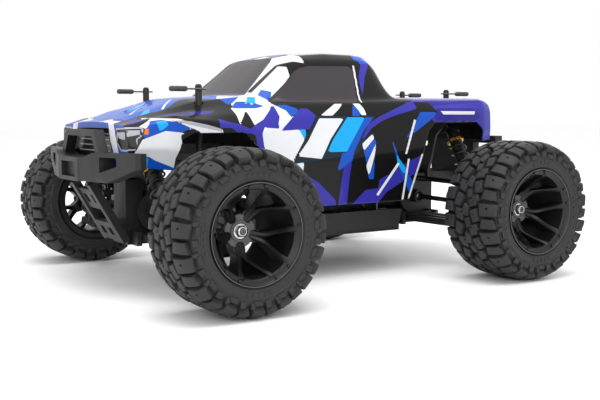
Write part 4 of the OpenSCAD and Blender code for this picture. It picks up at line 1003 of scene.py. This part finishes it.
# The cup's profile: (radius, height above the lower pin)
CUP = [(1.5, 3.9), (3.1, 4.4), (3.1, 8), (8.7, 8), (9.3, 8.5), (9.3, 10.4), (8.8, 10.4), (8.4, 9.4), (6, 9.4),
       (5.4, 10.4), (1.5, 10.4), (1.5, 3.9)]
WIRE_TURNS, PER_TURN, SPRING_WIRE_R, COIL_R = 7, 28, 0.95, 8.3
for corner, (front, left) in CORNERS.items():
    length = math.hypot(LOW_Y - TOP_Y, TOP_Z[front] - LOW_Z)
    tube = 0.55 * length
    threads = [(6.4 if k % 2 else 6.0, -19 - THREAD_STEP * k)
               for k in range(int((tube - 30) / THREAD_STEP))]
    foot = threads[-1][1]
    body = join([eyelet(0, 5, 1.56),
                 lathe([(2.8, -3.5), (3.4, -4.5), (3.4, -8.6), (2.8, -8.6), (2.8, -3.5)], 24),
                 knurled(7.4, 3, -14, -8.2, 16),
                 lathe([(5, -13.8), (6.3, -13.8), (6.3, -18.8)] + threads
                       + [(5.9, foot - 0.6), (5.9, -tube + 6), (6.5, -tube + 5.6), (6.5, -tube + 1),
                          (5.9, -tube), (1.8, -tube), (1.8, -tube + 4), (5, -tube + 5), (5, -13.8)], 36)])
    piece = closed_piece("shock_body_" + corner + "_threaded", *on_shock(body, corner), nylon, 30)
    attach(piece, "shock_" + corner)
    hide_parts("shock_body_" + corner)
    collar = knurled(9.25, 6.5, -24.6, -21, 12, 0.7)
    piece = closed_piece("spring_collar_" + corner, *on_shock(collar, corner), gold, smooth=False)
    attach(piece, "shock_" + corner)
    shaft = lathe([(0.1, -tube + 16), (1.45, -tube + 16), (1.45, -length + 9), (0.1, -length + 9)], 24)
    piece = closed_piece("shock_shaft_" + corner + "_polished", *on_shock(shaft, corner), plated_steel_and_flange_highlight, 30)
    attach(piece, "piston_" + corner)
    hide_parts("shock_shaft_" + corner)
    cup = join([eyelet(-length, 5.4, 2.5),
                lathe([(r, -length + up) for r, up in CUP], 36)])
    piece = closed_piece("spring_cup_" + corner, *on_shock(cup, corner), charcoal, 30)
    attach(piece, "piston_" + corner)
    low, high = -length + 11.5, -25.7
    rings = []
    for k in range(WIRE_TURNS * PER_TURN + 1):
        t = k / (WIRE_TURNS * PER_TURN)
        a = 2 * math.pi * k / PER_TURN
        # The end coils lie closer together than the middle ones
        climb = low + (high - low) * (t - 0.035 * math.sin(2 * math.pi * t))
        round_wire = [(COIL_R + SPRING_WIRE_R * math.cos(q), climb + SPRING_WIRE_R * math.sin(q))
                      for q in np.linspace(0, 2 * math.pi, 11)[:10]]
        rings.append([(r * math.cos(a), r * math.sin(a), h) for r, h in round_wire])
    wire = skin(rings, caps=True)
    spring = closed_piece("coil_spring_" + corner, *on_shock(wire, corner), coated)
    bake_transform(spring)
    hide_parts("shock_spring_" + corner)


# Body clips. Each is a hairpin of spring wire through the post's cross hole, one leg straight
# and one bowed round the post, with its bent end pushed into a ribbed rubber pull tab.
# Pull-tab rubber is greyer and duller than the tyres
tab_rubber = mottled("pull_tab_rubber", "#39393B", "#4C4C4F", 5, 0.6, 0.1, Roughness=0.6,
                     Specular_IOR_Level=0.35)
CLIP_Z, CLIP_WIRE_R = 176.8, 0.72


def tube_through(path, radius):
    """A round wire along a path of points."""
    path = np.asarray(path, float)
    ahead = np.gradient(path, axis=0)
    rings = []
    for q, d in zip(path, ahead):
        d = d / np.linalg.norm(d)
        side_way = np.cross(d, [0, 0, 1])
        side_way /= np.linalg.norm(side_way)
        up = np.cross(side_way, d)
        rings.append([tuple(q + radius * (math.cos(t) * side_way + math.sin(t) * up))
                      for t in np.linspace(0, 2 * math.pi, 11)[:10]])
    return skin(rings, caps=True)


def curve_through(points):
    """A smooth path through points, a Catmull-Rom curve with eight steps from each to the next."""
    steps = 8
    p = [np.array(q, float) for q in points]
    p = [2 * p[0] - p[1]] + p + [2 * p[-1] - p[-2]]
    path = []
    for i in range(1, len(p) - 2):
        for k in range(steps):
            t = k / steps
            path.append(0.5 * (2 * p[i] + (p[i + 1] - p[i - 1]) * t
                               + (2 * p[i - 1] - 5 * p[i] + 4 * p[i + 1] - p[i + 2]) * t ** 2
                               + (3 * p[i] - p[i - 1] - 3 * p[i + 1] + p[i + 2]) * t ** 3))
    path.append(p[-2])
    return path


HAIRPIN = [(-6.9, 0), (-3, 0), (3, 0), (9, 0), (14, 0.1), (17.5, 1), (18.4, 2.3), (17.5, 3.6), (14, 4.5),
           (9, 4.5), (4.5, 4.1), (2.5, 4.5), (0, 4.8), (-2.5, 4.3), (-4.4, 3.1), (-6.3, 4.1)]
hairpin = curve_through([(x, y, 0) for x, y in HAIRPIN])
clip_wire = tube_through(hairpin, CLIP_WIRE_R)
# The tab from end to end: half its width and thickness, how far its ends are rounded, and its ribs
TAB_FROM, TAB_LONG, TAB_MID, TAB_WIDE, TAB_THICK = 12.2, 16.7, 2.3, 3.45, 2.1
ROUND_END, RIB_HIGH, RIB_GAP = 0.14, 0.25, 0.125
tab_rings = []
for k in range(33):
    u = k / 32
    to_end = min(u, 1 - u)
    edge = math.sqrt(max(1 - (1 - to_end / ROUND_END) ** 2, 0.02)) if to_end < ROUND_END else 1
    rib = RIB_HIGH * (math.cos(2 * math.pi * (u - 0.25) / RIB_GAP) if 0.25 < u < 0.75 else 1)
    ring = []
    for t in np.linspace(0, 2 * math.pi, 25)[:24]:
        c, q = math.cos(t), math.sin(t)
        ring.append((TAB_FROM + TAB_LONG * u,
                     TAB_MID + (TAB_WIDE + rib) * edge * math.copysign(abs(c) ** 0.55, c),
                     (TAB_THICK + rib) * edge * math.copysign(abs(q) ** 0.6, q)))
    tab_rings.append(ring)
pull_tab = skin(tab_rings, caps=True)
for corner, (front, left) in CORNERS.items():
    px, py = FRONT_POST if front > 0 else (-REAR_POST[0], REAR_POST[1])

    def at_post(shape):
        """Points and faces given from the post's cross hole, first axis along the truck."""
        p = np.asarray(shape[0], float)
        return np.stack([front * (px + p[:, 0]), left * (py + p[:, 1]), CLIP_Z + p[:, 2]], axis=1), shape[1]

    wire_piece = closed_piece("clip_hairpin_" + corner, *at_post(clip_wire), bare_steel_and_nut_shade)
    tab_piece = closed_piece("clip_pull_tab_" + corner, *at_post(pull_tab), tab_rubber)
    for piece in (wire_piece, tab_piece):
        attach(piece, "clip_" + corner)
    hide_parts("body_clip_" + corner)
